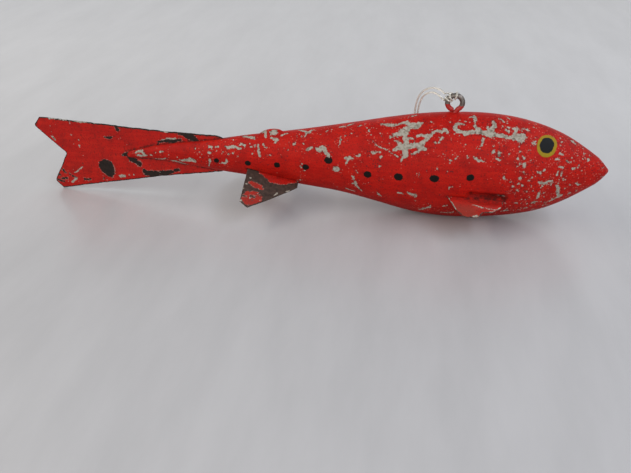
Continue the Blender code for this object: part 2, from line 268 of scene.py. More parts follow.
def smooth_route(route, spacing):
    """Points an even distance apart on the Catmull-Rom curve through the route's points."""
    padded = np.vstack([2 * route[0] - route[1], route, 2 * route[-1] - route[-2]])
    a, b, c, d = (padded[i : i + len(route) - 1, None] for i in range(4))
    t = np.linspace(0.0, 1.0, ROUTE_STEPS, endpoint=False)[None, :, None]
    fine = 0.5 * (2 * b + (c - a) * t + (2 * a - 5 * b + 4 * c - d) * t**2 + (3 * b - a - 3 * c + d) * t**3)
    fine = np.vstack([fine.reshape(-1, 3), route[-1:]])
    lengths = np.concatenate([[0.0], np.cumsum(np.linalg.norm(np.diff(fine, axis=0), axis=1))])
    even = np.linspace(0.0, lengths[-1], round(lengths[-1] / spacing) + 1)
    return np.stack([np.interp(even, lengths, fine[:, axis]) for axis in range(3)], axis=1)


def length_of(path):
    return np.linalg.norm(np.diff(path, axis=0), axis=1).sum()


def frames_along(path):
    """Two directions across the path at each point: the last one's, made square to the path again."""
    tangents = np.gradient(path, axis=0)
    tangents /= np.linalg.norm(tangents, axis=1, keepdims=True)
    across = np.empty_like(path)
    side = np.cross(tangents[0], np.eye(3)[np.abs(tangents[0]).argmin()])
    for index, tangent in enumerate(tangents):
        side = side - tangent * (side @ tangent)
        side = side / np.linalg.norm(side)
        across[index] = side
    return across, np.cross(tangents, across)


def sweep_tube(name, path, radii, sides):
    """A round tube: each path point plus radius * (cos a * across + sin a * up), closed by a pole at each end."""
    across, up = frames_along(path)
    turn = 2 * np.pi * np.arange(sides) / sides
    round_it = across[:, None] * np.cos(turn)[:, None] + up[:, None] * np.sin(turn)[:, None]
    rings = path[:, None] + round_it * np.broadcast_to(radii, len(path))[:, None, None]
    points = np.vstack([rings.reshape(-1, 3), path[:1], path[-1:]])
    count = len(path) * sides
    fans = end_fans(len(path), sides, count, count + 1)
    return new_piece(name, points, ring_quads(len(path), sides), fans)


# %% Lay the loop and wind the hitch
LOOP_SPACING = 0.7 * MM
EYE_CENTRE = np.array([55.0, 0.0, 45.75]) * MM
EYE_RING_RADIUS = 2.75 * MM
EYE_WIRE_RADIUS = 0.95 * MM
HITCH_GAP = 0.05 * MM
# Where round the ring the line is at each count of turns round the wire, in degrees from +X. It crosses
# the near side at three quarters of a turn, twice close together and once apart, near the top.
HITCH_TURNS = (0.0, 0.75, 1.75, 2.75, 3.2)
HITCH_PLACES = (168.0, 156.0, 133.0, 86.0, 84.0)
HITCH_STEPS = 120
HITCH_SPACING = 0.25 * MM
# The way back to the loop, behind the ring.
HITCH_RETURN = np.array([(53.5, 2.1, 48.2), (52.0, 1.5, 48.8)]) * MM


def hitch_route():
    """The line from the loop's end, three times round the ring's wire, and back to the loop's start."""
    turn = np.linspace(HITCH_TURNS[0], HITCH_TURNS[-1], HITCH_STEPS)
    round_ring = np.radians(np.interp(turn, HITCH_TURNS, HITCH_PLACES))
    round_wire = 2 * np.pi * turn
    wrap = EYE_WIRE_RADIUS + LINE_RADIUS + HITCH_GAP
    out = np.stack([np.cos(round_ring), np.zeros_like(turn), np.sin(round_ring)], axis=1)
    sideways = np.array([0.0, 1.0, 0.0])
    turns = EYE_CENTRE + out * EYE_RING_RADIUS
    turns = turns + wrap * (out * np.cos(round_wire)[:, None] + sideways * np.sin(round_wire)[:, None])
    knots = np.vstack([LOOP_ROUTE[-1:], turns, HITCH_RETURN, LOOP_ROUTE[:1]])
    return smooth_route(knots, HITCH_SPACING)


loop_path = smooth_route(LOOP_ROUTE, LOOP_SPACING)
line_loop = sweep_tube("clear_line_loop", loop_path, LINE_RADIUS, LINE_SIDES)
line_hitch = sweep_tube("clear_line_hitch", hitch_route(), LINE_RADIUS, LINE_SIDES)
for piece, node in ((line_loop, "line_loop"), (line_hitch, "line_hitch")):
    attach(piece, "root")
    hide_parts(node)
print("length of the loop:", round(length_of(loop_path) / MM, 1), "mm")

# %% [markdown]
# Nylon bends light (IOR 1.53) and lets most of it through, so against a pale table it shows as two dark
# edges with a bright middle. Age and handling leave it a little milky.

# %% Clear nylon monofilament, drawn and a little hazy from handling
NYLON_IOR = 1.53


def make_nylon():
    material, tree, shader = new_material("clear_nylon_monofilament")
    set_values(shader, Base_Color=linear("#F1EDE2"), IOR=NYLON_IOR, Transmission_Weight=0.6)
    place = add_node(tree, "ShaderNodeTexCoord").outputs["Object"]
    # Handling marks every few millimetres.
    haze = add_node(tree, "ShaderNodeTexNoise", {"Vector": place, "Scale": 1 / (3 * MM), "Detail": 3.0})
    rough = add_node(tree, "ShaderNodeMapRange", {"Value": haze, "To Min": 0.06, "To Max": 0.2})
    tree.links.new(rough.outputs[0], shader.inputs["Roughness"])
    return material


nylon = make_nylon()
for piece in (line_loop, line_hitch):
    piece.data.materials.append(nylon)

# %% [markdown]
# ## The carved body
#
# The wood is one piece: round in section, deepest behind the head, thin towards the tail. The same station
# table as the solid's gives the top, the bottom and the half width along the fish, with a cubic between
# each two stations. A sculpted mesh could be denser only where it matters, but a grid of rings keeps two
# useful numbers at each point: the place along the fish, and the distance round the flank from its widest
# line. Dots, chips and the painted eye are laid out in those two, as on an unrolled skin.

# %% Curves along the fish
BODY_STATIONS = MM * np.array([
    # x, top, bottom, half width
    (-76.0, 18.6, 16.0, 1.6),
    (-66.0, 21.4, 16.1, 2.1),
    (-56.0, 23.4, 15.1, 3.0),
    (-46.0, 24.8, 13.9, 3.9),
    (-36.0, 26.3, 12.8, 4.9),
    (-25.0, 28.3, 11.7, 6.2),
    (-12.0, 30.4, 10.2, 7.6),
    (0.0, 32.5, 9.0, 9.1),
    (14.0, 35.1, 7.2, 11.0),
    (28.0, 37.9, 4.1, 13.0),
    (42.0, 40.3, 0.9, 14.0),
    (56.0, 41.7, -0.4, 14.2),
    (68.0, 41.9, 0.2, 14.0),
    (80.0, 40.5, 1.9, 13.2),
    (90.0, 37.8, 4.6, 11.6),
    (99.0, 33.9, 8.9, 8.9),
    (106.0, 29.6, 13.4, 6.2),
    (111.0, 26.2, 17.2, 4.2),
    (114.5, 23.8, 20.0, 2.6),
])
NOSE_ROUND = 5.0 * MM
REAR_ROUND = 2.0 * MM
REAR_RINGS, MIDDLE_RINGS, NOSE_RINGS = 10, 380, 26
BODY_SIDES = 224


def through_stations(column, x):
    """A cubic between each two stations, with the table's own slope at each station."""
    places = BODY_STATIONS[:, 0]
    values = BODY_STATIONS[:, column]
    slopes = np.gradient(values, places)
    index = np.clip(np.searchsorted(places, x) - 1, 0, len(places) - 2)
    span = places[index + 1] - places[index]
    t = (x - places[index]) / span
    start = values[index] * (2 * t**3 - 3 * t**2 + 1) + slopes[index] * span * (t**3 - 2 * t**2 + t)
    end = values[index + 1] * (3 * t**2 - 2 * t**3) + slopes[index + 1] * span * (t**3 - t**2)
    return start + end


def end_rounding(distance, radius):
    """How much of a section is left this far from a rounded end: a quarter ellipse."""
    inside = np.clip(1.0 - distance / radius, 0.0, 1.0)
    return np.sqrt(1.0 - inside**2)


def ring_places():
    """X of each ring: even along the middle, and closing up to the tip over both rounded ends."""
    rear, nose = BODY_STATIONS[0, 0], BODY_STATIONS[-1, 0]
    # Equal turns of a quarter circle put the rings where the rounded end is steepest.
    rear_turn = np.linspace(0.0, np.pi / 2, REAR_RINGS + 1)[1:-1]
    nose_turn = np.linspace(np.pi / 2, 0.0, NOSE_RINGS + 1)[1:-1]
    middle = np.linspace(rear + REAR_ROUND, nose - NOSE_ROUND, MIDDLE_RINGS)
    return np.concatenate([
        rear + REAR_ROUND * (1 - np.cos(rear_turn)),
        middle,
        nose - NOSE_ROUND * (1 - np.cos(nose_turn)),
    ])


def body_rings():
    """Elliptical rings from the belly up the right side: y = -width * cos a, z = middle + height * sin a."""
    x = ring_places()
    rear, nose = BODY_STATIONS[0, 0], BODY_STATIONS[-1, 0]
    left = end_rounding(x - rear, REAR_ROUND) * end_rounding(nose - x, NOSE_ROUND)
    top, bottom = through_stations(1, x), through_stations(2, x)
    width = through_stations(3, x) * left
    height = (top - bottom) / 2 * left
    angle = -np.pi / 2 + 2 * np.pi * np.arange(BODY_SIDES) / BODY_SIDES
    points = np.empty((len(x), BODY_SIDES, 3))
    points[..., 0] = x[:, None]
    points[..., 1] = -width[:, None] * np.cos(angle)
    points[..., 2] = (top + bottom)[:, None] / 2 + height[:, None] * np.sin(angle)
    return points


def girth_places(rings):
    """Distance round each ring from its widest line, upwards: once from the right side and once from the left."""
    steps = np.linalg.norm(np.diff(rings, axis=1), axis=2)
    round_it = np.concatenate([np.zeros((len(rings), 1)), np.cumsum(steps, axis=1)], axis=1)
    quarter = BODY_SIDES // 4
    from_right = round_it - round_it[:, quarter : quarter + 1]
    from_left = round_it[:, 3 * quarter : 3 * quarter + 1] - round_it
    return from_right, from_left


bare_rings = body_rings()
from_right, from_left = girth_places(bare_rings)
print("half girth at its largest:", round(2 * from_right.max() / 3 / MM, 1), "mm")

# %% [markdown]
# On that even form come the marks of the knife and of assembly: shallow flats under the paint, the low
# stub on the back, the saw cuts that hold the fins, and the paint that piled up round the foot of the wire
# eye. Each is a height, added along the surface's own direction.

# %% Carve the details
STUB_MIDDLE = np.array([-15.0, 0.0, 29.3]) * MM
STUB_HALF = np.array([5.0, 1.7, 2.3]) * MM
STUB_LEAN = math.radians(9.0)
STUB_BLEND = 0.25 * MM
KNIFE_SIZE = 9 * MM
KNIFE_DEPTH = 0.16 * MM
PECTORAL_ROOT = np.array([(54.8, -12.7, 13.4), (76.2, -12.1, 12.8)]) * MM
PELVIC_ROOT = np.array([(-24.1, -5.5, 16.1), (-3.6, -5.4, 12.1)]) * MM
GROOVE_DEPTH = 0.75 * MM
GROOVE_HALF = 0.95 * MM
POCKET = np.array([(63.5, -13.6, 14.5), (75.5, -13.1, 13.9)]) * MM
POCKET_DEPTH = 1.0 * MM
POCKET_HALF = 2.1 * MM
EYE_FOOT = np.array([54.6, 0.0, 41.6]) * MM
EYE_FOOT_REACH = 3.4 * MM
EYE_FOOT_HEIGHT = 0.55 * MM


def distance_to_segment(points, start, end, stretch=0.0):
    """Distance from points to the straight line between two points, each end moved out by stretch."""
    along = (end - start) / np.linalg.norm(end - start)
    start, end = start - along * stretch, end + along * stretch
    share = np.clip((points - start) @ along / np.linalg.norm(end - start), 0.0, 1.0)
    return np.linalg.norm(points - start - share[..., None] * (end - start), axis=-1)


def mirrored(line):
    return line * np.array([1.0, -1.0, 1.0])


def groove_distance(points):
    """Distance to the nearest saw cut that holds a fin."""
    cuts = [PECTORAL_ROOT, mirrored(PECTORAL_ROOT), PELVIC_ROOT, mirrored(PELVIC_ROOT)]
    return np.min([distance_to_segment(points, *cut) for cut in cuts], axis=0)


def pocket_distance(points):
    """Distance to the hollow that the knife left over the root of each pectoral fin."""
    return np.minimum(distance_to_segment(points, *POCKET), distance_to_segment(points, *mirrored(POCKET)))


def stub_height(points):
    """Top of the stub above the axis plane: the upper half of a leaning ellipsoid, or minus one where it isn't."""
    offset = points - STUB_MIDDLE
    u = (offset[..., 0] * math.cos(STUB_LEAN)) / STUB_HALF[0]
    v = offset[..., 1] / STUB_HALF[1]
    inside = 1.0 - u**2 - v**2
    top = STUB_MIDDLE[2] + offset[..., 0] * math.tan(STUB_LEAN) + STUB_HALF[2] * np.sqrt(np.clip(inside, 0, 1))
    return np.where(inside > 0, top, -1.0)


def outward(rings):
    """Directions out of the surface, from the cross product of its two grid directions."""
    along = np.gradient(rings, axis=0)
    wrapped = np.concatenate([rings[:, -1:], rings, rings[:, :1]], axis=1)
    around = (wrapped[:, 2:] - wrapped[:, :-2]) / 2
    normal = np.cross(along, around)
    normal /= np.maximum(np.linalg.norm(normal, axis=2, keepdims=True), 1e-12)
    middle = rings.mean(axis=1, keepdims=True)
    inwards = np.sum(normal * (rings - middle)) < 0
    return -normal if inwards else normal


def carve(rings):
    """The rings with knife flats, the stub, the saw cuts and the paint round the eye's foot."""
    flat = rings.reshape(-1, 3)
    # Strokes of the knife run along the fish, so the noise is stretched that way.
    knife = layered_noise(flat * np.array([0.4, 1.0, 1.0]), KNIFE_SIZE, seed=11, layers=2)
    cuts = 1 - smoothstep(0.2 * GROOVE_HALF, GROOVE_HALF, groove_distance(flat))
    pocket = 1 - smoothstep(0.2 * POCKET_HALF, POCKET_HALF, pocket_distance(flat))
    from_foot = np.linalg.norm(flat - EYE_FOOT, axis=1)
    paint = 1 - smoothstep(0.25 * EYE_FOOT_REACH, EYE_FOOT_REACH, from_foot)
    height = KNIFE_DEPTH * knife - GROOVE_DEPTH * cuts - POCKET_DEPTH * pocket + EYE_FOOT_HEIGHT * paint
    carved = rings + outward(rings) * height.reshape(rings.shape[:2])[..., None]
    stub = stub_height(carved)
    upper = carved[..., 2] > STUB_MIDDLE[2] - STUB_HALF[2]
    # A smooth maximum of the back and the stub keeps a small fillet between them.
    gap = np.clip(1 - np.abs(stub - carved[..., 2]) / STUB_BLEND, 0, 1)
    raised = np.maximum(stub, carved[..., 2]) + gap**2 * STUB_BLEND / 4
    carved[..., 2] = np.where(upper & (stub > 0), raised, carved[..., 2])
    carved[..., 2] = np.maximum(carved[..., 2], 0.0)
    return carved


# %% [markdown]
# ## Where the paint has gone
#
# Chips aren't noise: each one is a knock that the fish took, and they have their own places. They are
# listed here as short chains of round dabs on the unrolled skin: how far along the fish, how far up from
# the widest line, and how wide, all in millimetres. The distance to the edge of the nearest chain is kept
# at each point, below zero inside a chip. The shader roughens that edge with fine noise afterwards, so it
# stays crisp at any size. The far side gets its own, from seeded random numbers, and fewer.

# %% List the chips of the right side
RIGHT_CHIPS = (
    # The large group on the shoulder, with its arms.
    ((28.2, 20.0, 0.3), (30.1, 19.6, 0.7), (31.6, 19.7, 1.0), (33.1, 19.6, 0.7), (34.2, 19.9, 0.3)),
    ((34.2, 20.0, 0.3), (35.6, 20.6, 0.5)),
    (
        (36.0, 21.0, 0.5), (37.9, 21.4, 0.9), (39.4, 20.1, 1.3), (41.3, 19.9, 1.3), (42.3, 20.9, 1.0),
        (43.4, 21.5, 0.5),
    ),
    (
        (38.4, 18.8, 1.0), (37.8, 17.1, 1.0), (35.9, 16.1, 0.9), (34.1, 15.8, 0.7), (32.7, 15.0, 0.5),
        (32.0, 14.3, 0.4),
    ),
    ((36.9, 18.7, 0.4), (35.5, 17.3, 0.5)),
    (
        (37.8, 16.7, 1.0), (37.1, 15.1, 0.7), (38.0, 13.7, 1.0), (38.1, 11.8, 1.1), (37.9, 10.3, 1.1),
        (38.3, 8.9, 1.0),
    ),
    ((38.3, 14.5, 0.5), (39.8, 14.8, 0.4)),
    ((34.3, 13.2, 0.3), (35.5, 12.5, 0.6), (37.1, 11.3, 1.0), (35.2, 10.6, 0.8), (33.8, 9.8, 0.5)),
    (
        (38.1, 11.4, 1.0), (40.3, 12.1, 1.0), (42.1, 12.6, 0.8), (43.9, 13.1, 0.8), (45.2, 14.7, 0.7),
        (47.0, 16.5, 0.5),
    ),
    ((41.0, 12.4, 0.5), (40.9, 14.3, 0.3)), ((43.2, 11.7, 1.0), (45.1, 11.4, 0.7)),
    ((43.0, 10.4, 0.5), (41.3, 9.4, 0.4), (40.2, 9.1, 0.3)),
    (
        (41.9, 15.8, 0.4), (43.3, 16.4, 0.4), (45.1, 16.3, 0.6), (46.6, 16.6, 0.5), (47.9, 17.7, 0.5),
        (49.0, 18.3, 0.5), (50.5, 18.2, 0.4), (51.9, 19.0, 0.7), (53.0, 18.1, 0.4),
    ),
    ((38.0, 8.1, 0.9), (37.0, 7.2, 0.4), (36.5, 5.7, 0.4)), ((39.6, 25.3, 0.4), (41.0, 26.2, 0.3)),
    ((46.7, 22.1, 0.4),), ((48.6, 13.9, 0.5),),
    ((50.0, 14.0, 0.3), (50.6, 15.1, 0.3), (51.3, 16.3, 0.3)),
    # The long band behind the eye.
    (
        (58.6, 21.4, 0.4), (57.2, 21.8, 0.4), (55.8, 21.3, 0.7), (55.3, 19.8, 0.7), (56.3, 18.6, 0.7),
        (58.4, 18.3, 0.8),
    ),
    (
        (59.3, 17.7, 1.0), (60.9, 18.3, 0.7), (62.7, 18.5, 0.8), (64.5, 18.2, 0.7), (66.2, 18.0, 1.0),
        (68.1, 17.6, 1.2), (69.5, 17.5, 1.0),
    ),
    (
        (69.5, 17.5, 1.0), (71.0, 17.1, 0.7), (72.4, 17.3, 0.7), (74.2, 16.6, 0.7), (75.3, 16.5, 0.5),
        (76.7, 16.3, 1.0), (78.1, 16.7, 1.1), (79.7, 16.9, 1.5), (79.3, 15.6, 1.1),
    ),
    ((68.4, 18.8, 0.8), (67.4, 20.0, 0.5), (67.3, 20.8, 0.3)),
    ((69.1, 19.2, 0.7), (69.6, 20.9, 0.9), (69.4, 22.7, 0.6), (69.1, 23.4, 0.3)),
    ((62.6, 21.1, 0.5), (63.3, 19.9, 0.5), (64.4, 19.3, 0.5), (64.6, 20.4, 0.3)),
    ((60.8, 25.1, 0.4), (62.3, 25.8, 0.6), (62.8, 24.3, 0.6), (62.6, 23.0, 0.4)), ((59.1, 22.9, 0.4),),
    ((73.8, 19.4, 0.5), (74.9, 18.6, 0.4)),
    ((74.1, 20.4, 0.3), (75.9, 20.0, 0.2), (77.6, 19.9, 0.7), (77.0, 18.3, 0.5), (76.7, 17.5, 0.7)),
    ((79.6, 20.3, 0.3), (81.5, 20.1, 0.3), (82.2, 19.3, 0.3)),
    ((71.5, 24.8, 0.5), (72.4, 24.3, 0.3), (73.1, 22.9, 0.2)), ((74.3, 26.3, 0.3), (75.1, 25.2, 0.3)),
    ((72.4, 20.8, 0.3),), ((65.7, 15.9, 0.3), (65.6, 14.6, 0.5), (65.1, 13.2, 0.4), (64.5, 12.3, 0.3)),
    ((59.6, 13.5, 0.3), (59.1, 12.4, 0.2)), ((69.9, 11.4, 0.6), (69.3, 10.7, 0.4)),
    ((71.8, 10.6, 0.7), (71.7, 9.7, 0.5)), ((70.9, 8.8, 0.4), (71.8, 8.2, 0.4), (72.7, 8.4, 0.2)),
    ((60.5, 9.1, 0.4), (60.9, 9.0, 0.4)),
    ((63.0, 8.8, 0.3), (64.5, 8.4, 0.5), (65.2, 7.9, 0.5), (66.7, 7.8, 0.3)),
    ((55.5, 9.7, 0.2), (55.2, 9.4, 0.2)), ((54.5, 7.1, 0.2), (56.3, 8.2, 0.2), (57.4, 9.4, 0.2)),
    ((83.7, 14.5, 0.4), (84.5, 14.1, 0.4), (84.6, 15.3, 0.3)), ((84.4, 16.8, 0.2),),
    # The head.
    ((79.3, 11.4, 0.4),), ((75.4, 10.2, 0.3), (75.8, 10.9, 0.2)), ((78.7, 8.9, 0.4),),
    ((80.4, 9.6, 0.3), (80.9, 8.7, 0.4)), ((79.7, 7.4, 0.3), (79.5, 6.7, 0.3)),
    ((81.2, 6.9, 0.5), (81.1, 5.9, 0.5), (81.7, 6.1, 0.4)), ((79.0, 5.9, 0.3),), ((79.8, 4.6, 0.3),),
    ((81.2, 3.9, 0.3), (81.6, 3.3, 0.3)), ((80.5, 1.4, 0.6),), ((74.5, 2.2, 0.3), (74.8, 0.9, 0.3)),
    ((75.9, 0.8, 0.3),), ((77.4, 0.0, 0.3),), ((78.2, -1.9, 0.4),),
    ((79.7, -1.1, 0.3), (80.4, -0.5, 0.3)), ((81.6, -1.4, 0.3),),
    ((80.5, -3.8, 0.3), (79.7, -3.4, 0.2)), ((79.4, -4.5, 0.3),), ((77.7, -5.0, 0.3),),
    ((83.9, -4.3, 0.3), (83.1, -4.0, 0.3)), ((84.2, 0.4, 0.3), (83.6, 0.2, 0.3)),
    ((84.6, 1.4, 0.2), (84.9, 2.1, 0.2)), ((83.2, 7.7, 0.3), (83.9, 8.1, 0.2)),
    ((86.7, 4.2, 0.3), (87.1, 3.7, 0.5), (87.7, 3.5, 0.4)), ((88.9, 4.6, 0.3), (88.5, 4.2, 0.3)),
    (
        (87.5, -0.1, 0.3), (88.8, -0.9, 0.5), (89.9, -0.8, 0.6), (91.2, 0.0, 0.4), (92.5, -0.1, 0.4),
        (92.0, -1.1, 0.3),
    ),
    ((89.2, -2.0, 0.3),),
    (
        (94.2, -1.9, 0.3), (95.2, -3.2, 0.6), (95.7, -4.7, 0.6), (95.6, -6.2, 0.6), (96.5, -7.6, 0.7),
        (97.7, -7.1, 0.3),
    ),
    ((96.5, -7.6, 0.5), (95.8, -8.2, 0.4), (94.6, -9.1, 0.4), (93.4, -9.8, 0.3), (91.8, -10.5, 0.3)),
    ((93.5, 2.2, 0.3), (93.9, 3.1, 0.3), (93.9, 3.6, 0.3)), ((95.4, 2.0, 0.3), (95.5, 3.3, 0.3)),
    ((94.1, 5.2, 0.2), (95.4, 5.0, 0.2)), ((96.3, 0.6, 0.3), (96.4, -0.1, 0.3)), ((97.3, 0.0, 0.2),),
    ((88.5, -4.9, 0.3), (88.5, -6.4, 0.5), (88.3, -7.6, 0.4)),
    ((86.7, -10.0, 0.5), (87.6, -9.5, 0.5), (88.3, -9.3, 0.3)), ((90.0, -9.5, 0.3),),
    ((90.4, -4.9, 0.3),), ((90.4, -6.8, 0.3),), ((84.7, -8.0, 0.3), (83.9, -7.8, 0.3)),
    ((84.9, -10.3, 0.3),), ((82.6, -9.9, 0.4),), ((81.1, -10.0, 0.4), (80.4, -9.9, 0.3)),
    ((76.0, -7.4, 0.3), (74.9, -7.0, 0.3), (73.5, -6.6, 0.2)), ((76.6, -9.9, 0.3),),
    ((84.7, -13.3, 0.5), (85.4, -12.9, 0.3)),
    ((76.7, -15.2, 0.3), (77.8, -14.5, 0.5), (78.5, -14.9, 0.4)), ((80.4, -16.9, 0.3),),
    ((88.1, -15.0, 0.3),), ((101.7, -1.8, 0.2), (102.7, -2.6, 0.4), (103.5, -2.6, 0.3)),
    ((99.6, -2.4, 0.3),), ((98.0, -3.8, 0.3),), ((100.5, -6.7, 0.4), (100.1, -7.4, 0.3)),
    ((102.7, -6.1, 0.2),), ((99.5, 4.2, 0.5), (100.3, 4.3, 0.3)), ((101.7, 5.1, 0.3),),
    ((105.1, 7.2, 0.3), (105.3, 6.6, 0.5)), ((103.2, 9.2, 0.3),), ((100.6, 8.7, 0.3),),
    ((93.8, 10.3, 0.3), (94.3, 9.8, 0.3), (95.1, 9.9, 0.2)), ((94.3, 14.5, 0.3), (95.0, 14.6, 0.2)),
    ((96.9, 7.3, 0.3), (97.7, 6.8, 0.3)), ((92.3, 8.4, 0.3), (93.6, 8.1, 0.3)), ((94.0, 7.4, 0.2),),
    ((98.6, 15.5, 0.3), (99.2, 14.7, 0.4), (100.1, 13.8, 0.4)), ((103.2, 11.7, 0.3),),
    ((111.8, 2.7, 0.2),), ((111.3, -0.9, 0.3),), ((82.4, 11.8, 0.2),),
    # The middle of the flank.
    ((12.6, 17.6, 0.5), (14.8, 18.2, 0.3), (16.2, 19.3, 0.4), (17.3, 20.2, 0.3)),
    ((13.0, 12.4, 0.2), (13.3, 11.2, 0.3), (13.1, 10.0, 0.3), (12.8, 8.9, 0.2)), ((14.9, 13.1, 0.3),),
    ((17.4, 14.3, 0.3),), ((16.9, 16.5, 0.2),), ((19.7, 18.3, 0.4), (21.0, 19.4, 0.3)),
    ((23.7, 15.9, 0.4), (24.0, 16.8, 0.2)), ((7.6, 14.6, 0.4), (7.9, 15.5, 0.2)), ((5.4, 13.4, 0.2),),
    (
        (26.1, 12.0, 0.2), (27.8, 10.3, 0.2), (29.7, 9.9, 0.2), (31.2, 9.5, 0.2), (33.1, 8.6, 0.2),
        (35.5, 7.4, 0.2),
    ),
    ((25.3, 7.7, 0.2), (26.0, 7.9, 0.5), (27.0, 8.2, 0.4)), ((28.5, 8.5, 0.3),), ((29.0, 6.7, 0.5),),
    ((28.9, 3.2, 0.5),), ((28.9, 14.8, 0.3),), ((15.9, 4.4, 0.7), (17.1, 4.6, 0.7), (18.4, 4.8, 0.3)),
    ((17.1, 4.4, 0.4), (16.4, 3.3, 0.4), (15.9, 2.3, 0.3)), ((19.7, 6.0, 0.3), (21.0, 6.4, 0.3)),
    ((0.5, 6.5, 0.6), (1.3, 6.9, 0.5), (2.6, 7.6, 0.3)),
    ((4.2, 7.0, 0.5), (5.4, 6.5, 0.9), (6.1, 7.9, 0.6), (7.2, 7.0, 0.9), (8.0, 5.7, 0.7), (9.1, 4.9, 0.7)),
    ((-5.1, 8.1, 0.4), (-4.5, 8.8, 0.3)), ((-7.4, 5.4, 0.3), (-6.9, 5.8, 0.3)), ((-1.1, 8.7, 0.3),),
    ((-2.1, 0.2, 0.3), (-1.7, -0.9, 0.2)), ((-1.0, -2.4, 0.3), (0.0, -1.9, 0.2)), ((-2.1, -4.7, 0.2),),
    ((-2.5, -7.6, 0.3),), ((20.1, 0.2, 0.3), (20.6, -0.9, 0.2)),
    ((18.7, -2.9, 0.4), (18.9, -3.6, 0.3)),
    ((19.6, -4.8, 0.3), (19.8, -6.3, 0.6), (20.6, -7.6, 0.4), (22.0, -9.8, 0.2)), ((18.8, -6.2, 0.5),),
    ((23.9, -5.0, 0.2),), ((28.1, -8.8, 0.3), (28.9, -10.2, 0.3), (30.1, -11.2, 0.2)),
    ((12.4, -9.7, 0.2),), ((16.0, -9.8, 0.2), (17.5, -10.5, 0.2), (19.5, -11.0, 0.2)),
    ((51.7, 10.0, 0.3),), ((44.0, 1.7, 0.2),), ((50.2, 4.2, 0.3),), ((54.0, 3.5, 0.3),),
    ((29.8, -2.0, 0.3),), ((35.9, -7.5, 0.3), (37.7, -7.4, 0.4)),
    ((40.1, -6.9, 0.4), (41.5, -7.5, 0.5), (43.0, -7.6, 0.5), (42.5, -9.0, 0.3)),
    ((43.0, -10.8, 0.3),), ((31.6, -9.9, 0.2),),
    ((45.1, -17.6, 0.3), (46.7, -16.0, 0.5), (48.6, -14.3, 0.5), (49.3, -12.8, 0.3)),
    ((55.1, -4.1, 0.2), (55.3, -3.0, 0.2), (56.6, -2.8, 0.2)),
    ((53.8, -12.9, 0.3), (55.1, -12.2, 0.3)),
    ((53.5, -17.6, 0.3), (55.8, -17.7, 0.3), (58.0, -16.9, 0.2)),
    # The slender rear of the body, and the stub.
    ((-3.8, 15.6, 0.3), (-2.0, 15.0, 0.5), (-0.7, 14.0, 0.6), (0.5, 14.0, 0.7), (1.1, 15.3, 0.5)),
    ((-0.6, 13.4, 0.4), (-0.9, 11.9, 0.3)), ((-3.4, 12.8, 0.2),), ((-2.4, 11.6, 0.3),),
    ((-4.4, 11.8, 0.2),), ((-10.5, 11.7, 0.3), (-9.5, 12.7, 0.3), (-7.9, 13.1, 0.3)),
    ((-15.0, 12.1, 0.4), (-12.8, 12.9, 0.6)),
    ((-14.6, 10.7, 0.3), (-13.2, 9.8, 0.7), (-12.1, 9.7, 0.7), (-12.6, 8.6, 0.5)),
    ((-18.7, 12.7, 0.4), (-17.3, 12.1, 0.6), (-16.6, 10.6, 0.3)),
    ((-25.9, 10.6, 0.5), (-23.2, 10.3, 0.7), (-21.5, 9.8, 0.6)), ((-29.9, 8.4, 0.2),),
    ((-19.4, 7.2, 0.3), (-19.1, 5.7, 0.4), (-18.8, 4.1, 0.5), (-18.5, 2.8, 0.5), (-18.4, 2.0, 0.2)),
    ((-20.6, 6.9, 0.3), (-20.9, 5.9, 0.2)), ((-17.2, 7.4, 0.3), (-16.6, 6.2, 0.3)),
    ((-22.2, 6.1, 0.4),), ((-21.5, 3.0, 0.4),), ((-15.5, 3.2, 0.2), (-14.1, 3.3, 0.2)),
    ((-26.8, 6.3, 0.3), (-26.3, 7.0, 0.5), (-25.1, 6.4, 0.5)),
    (
        (-33.1, 5.3, 0.4), (-31.8, 4.8, 0.5), (-30.5, 5.3, 0.7), (-28.9, 5.4, 0.6), (-28.0, 5.0, 0.5),
        (-26.5, 5.0, 0.3),
    ),
    ((-31.3, 2.5, 0.4),), ((-29.7, 2.8, 0.3),), ((-27.6, 1.8, 0.3),), ((-34.2, 2.3, 0.2),),
    ((-32.6, 0.5, 0.3), (-32.2, -0.5, 0.4), (-33.2, -1.8, 0.4), (-34.7, -1.4, 0.2)),
    ((-39.8, 4.7, 0.3), (-38.6, 4.9, 0.3), (-38.5, 3.8, 0.3)), ((-37.3, 4.8, 0.3), (-36.0, 4.9, 0.4)),
    ((-39.7, 2.3, 0.5), (-38.7, 2.5, 0.3)),
    ((-39.8, -0.2, 0.3), (-39.6, -1.1, 0.4), (-40.0, -2.7, 0.2), (-40.6, -4.3, 0.2)),
    ((-45.8, 3.6, 0.3),), ((-43.8, 2.2, 0.2),),
    ((-52.6, -2.0, 0.3), (-50.8, -2.1, 0.5), (-49.0, -1.6, 0.7), (-47.5, -1.4, 0.9), (-46.2, -1.8, 0.8)),
    (
        (-56.7, -2.9, 0.3), (-55.0, -3.0, 0.5), (-53.4, -3.4, 0.4), (-51.4, -4.3, 0.3),
        (-49.1, -5.4, 0.3), (-46.5, -5.8, 0.3), (-44.0, -6.2, 0.2),
    ),
    ((-65.0, -2.2, 0.2), (-62.5, -2.7, 0.2), (-58.2, -1.8, 0.2)), ((-62.7, 0.7, 0.3),),
    ((-60.9, 1.0, 0.4), (-59.6, 1.2, 0.3)),
    (
        (-71.5, 0.9, 0.5), (-69.3, 1.4, 0.5), (-68.0, 0.1, 0.5), (-67.3, -0.6, 0.6),
        (-69.1, -0.8, 0.5), (-70.7, -0.3, 0.5),
    ),
    ((-65.4, -0.2, 0.3), (-64.6, -0.4, 0.2)),
)

# %% Measure the distance to the chips
LEFT_CHIP_COUNT = 42
LEFT_CHIP_BENDS = 3


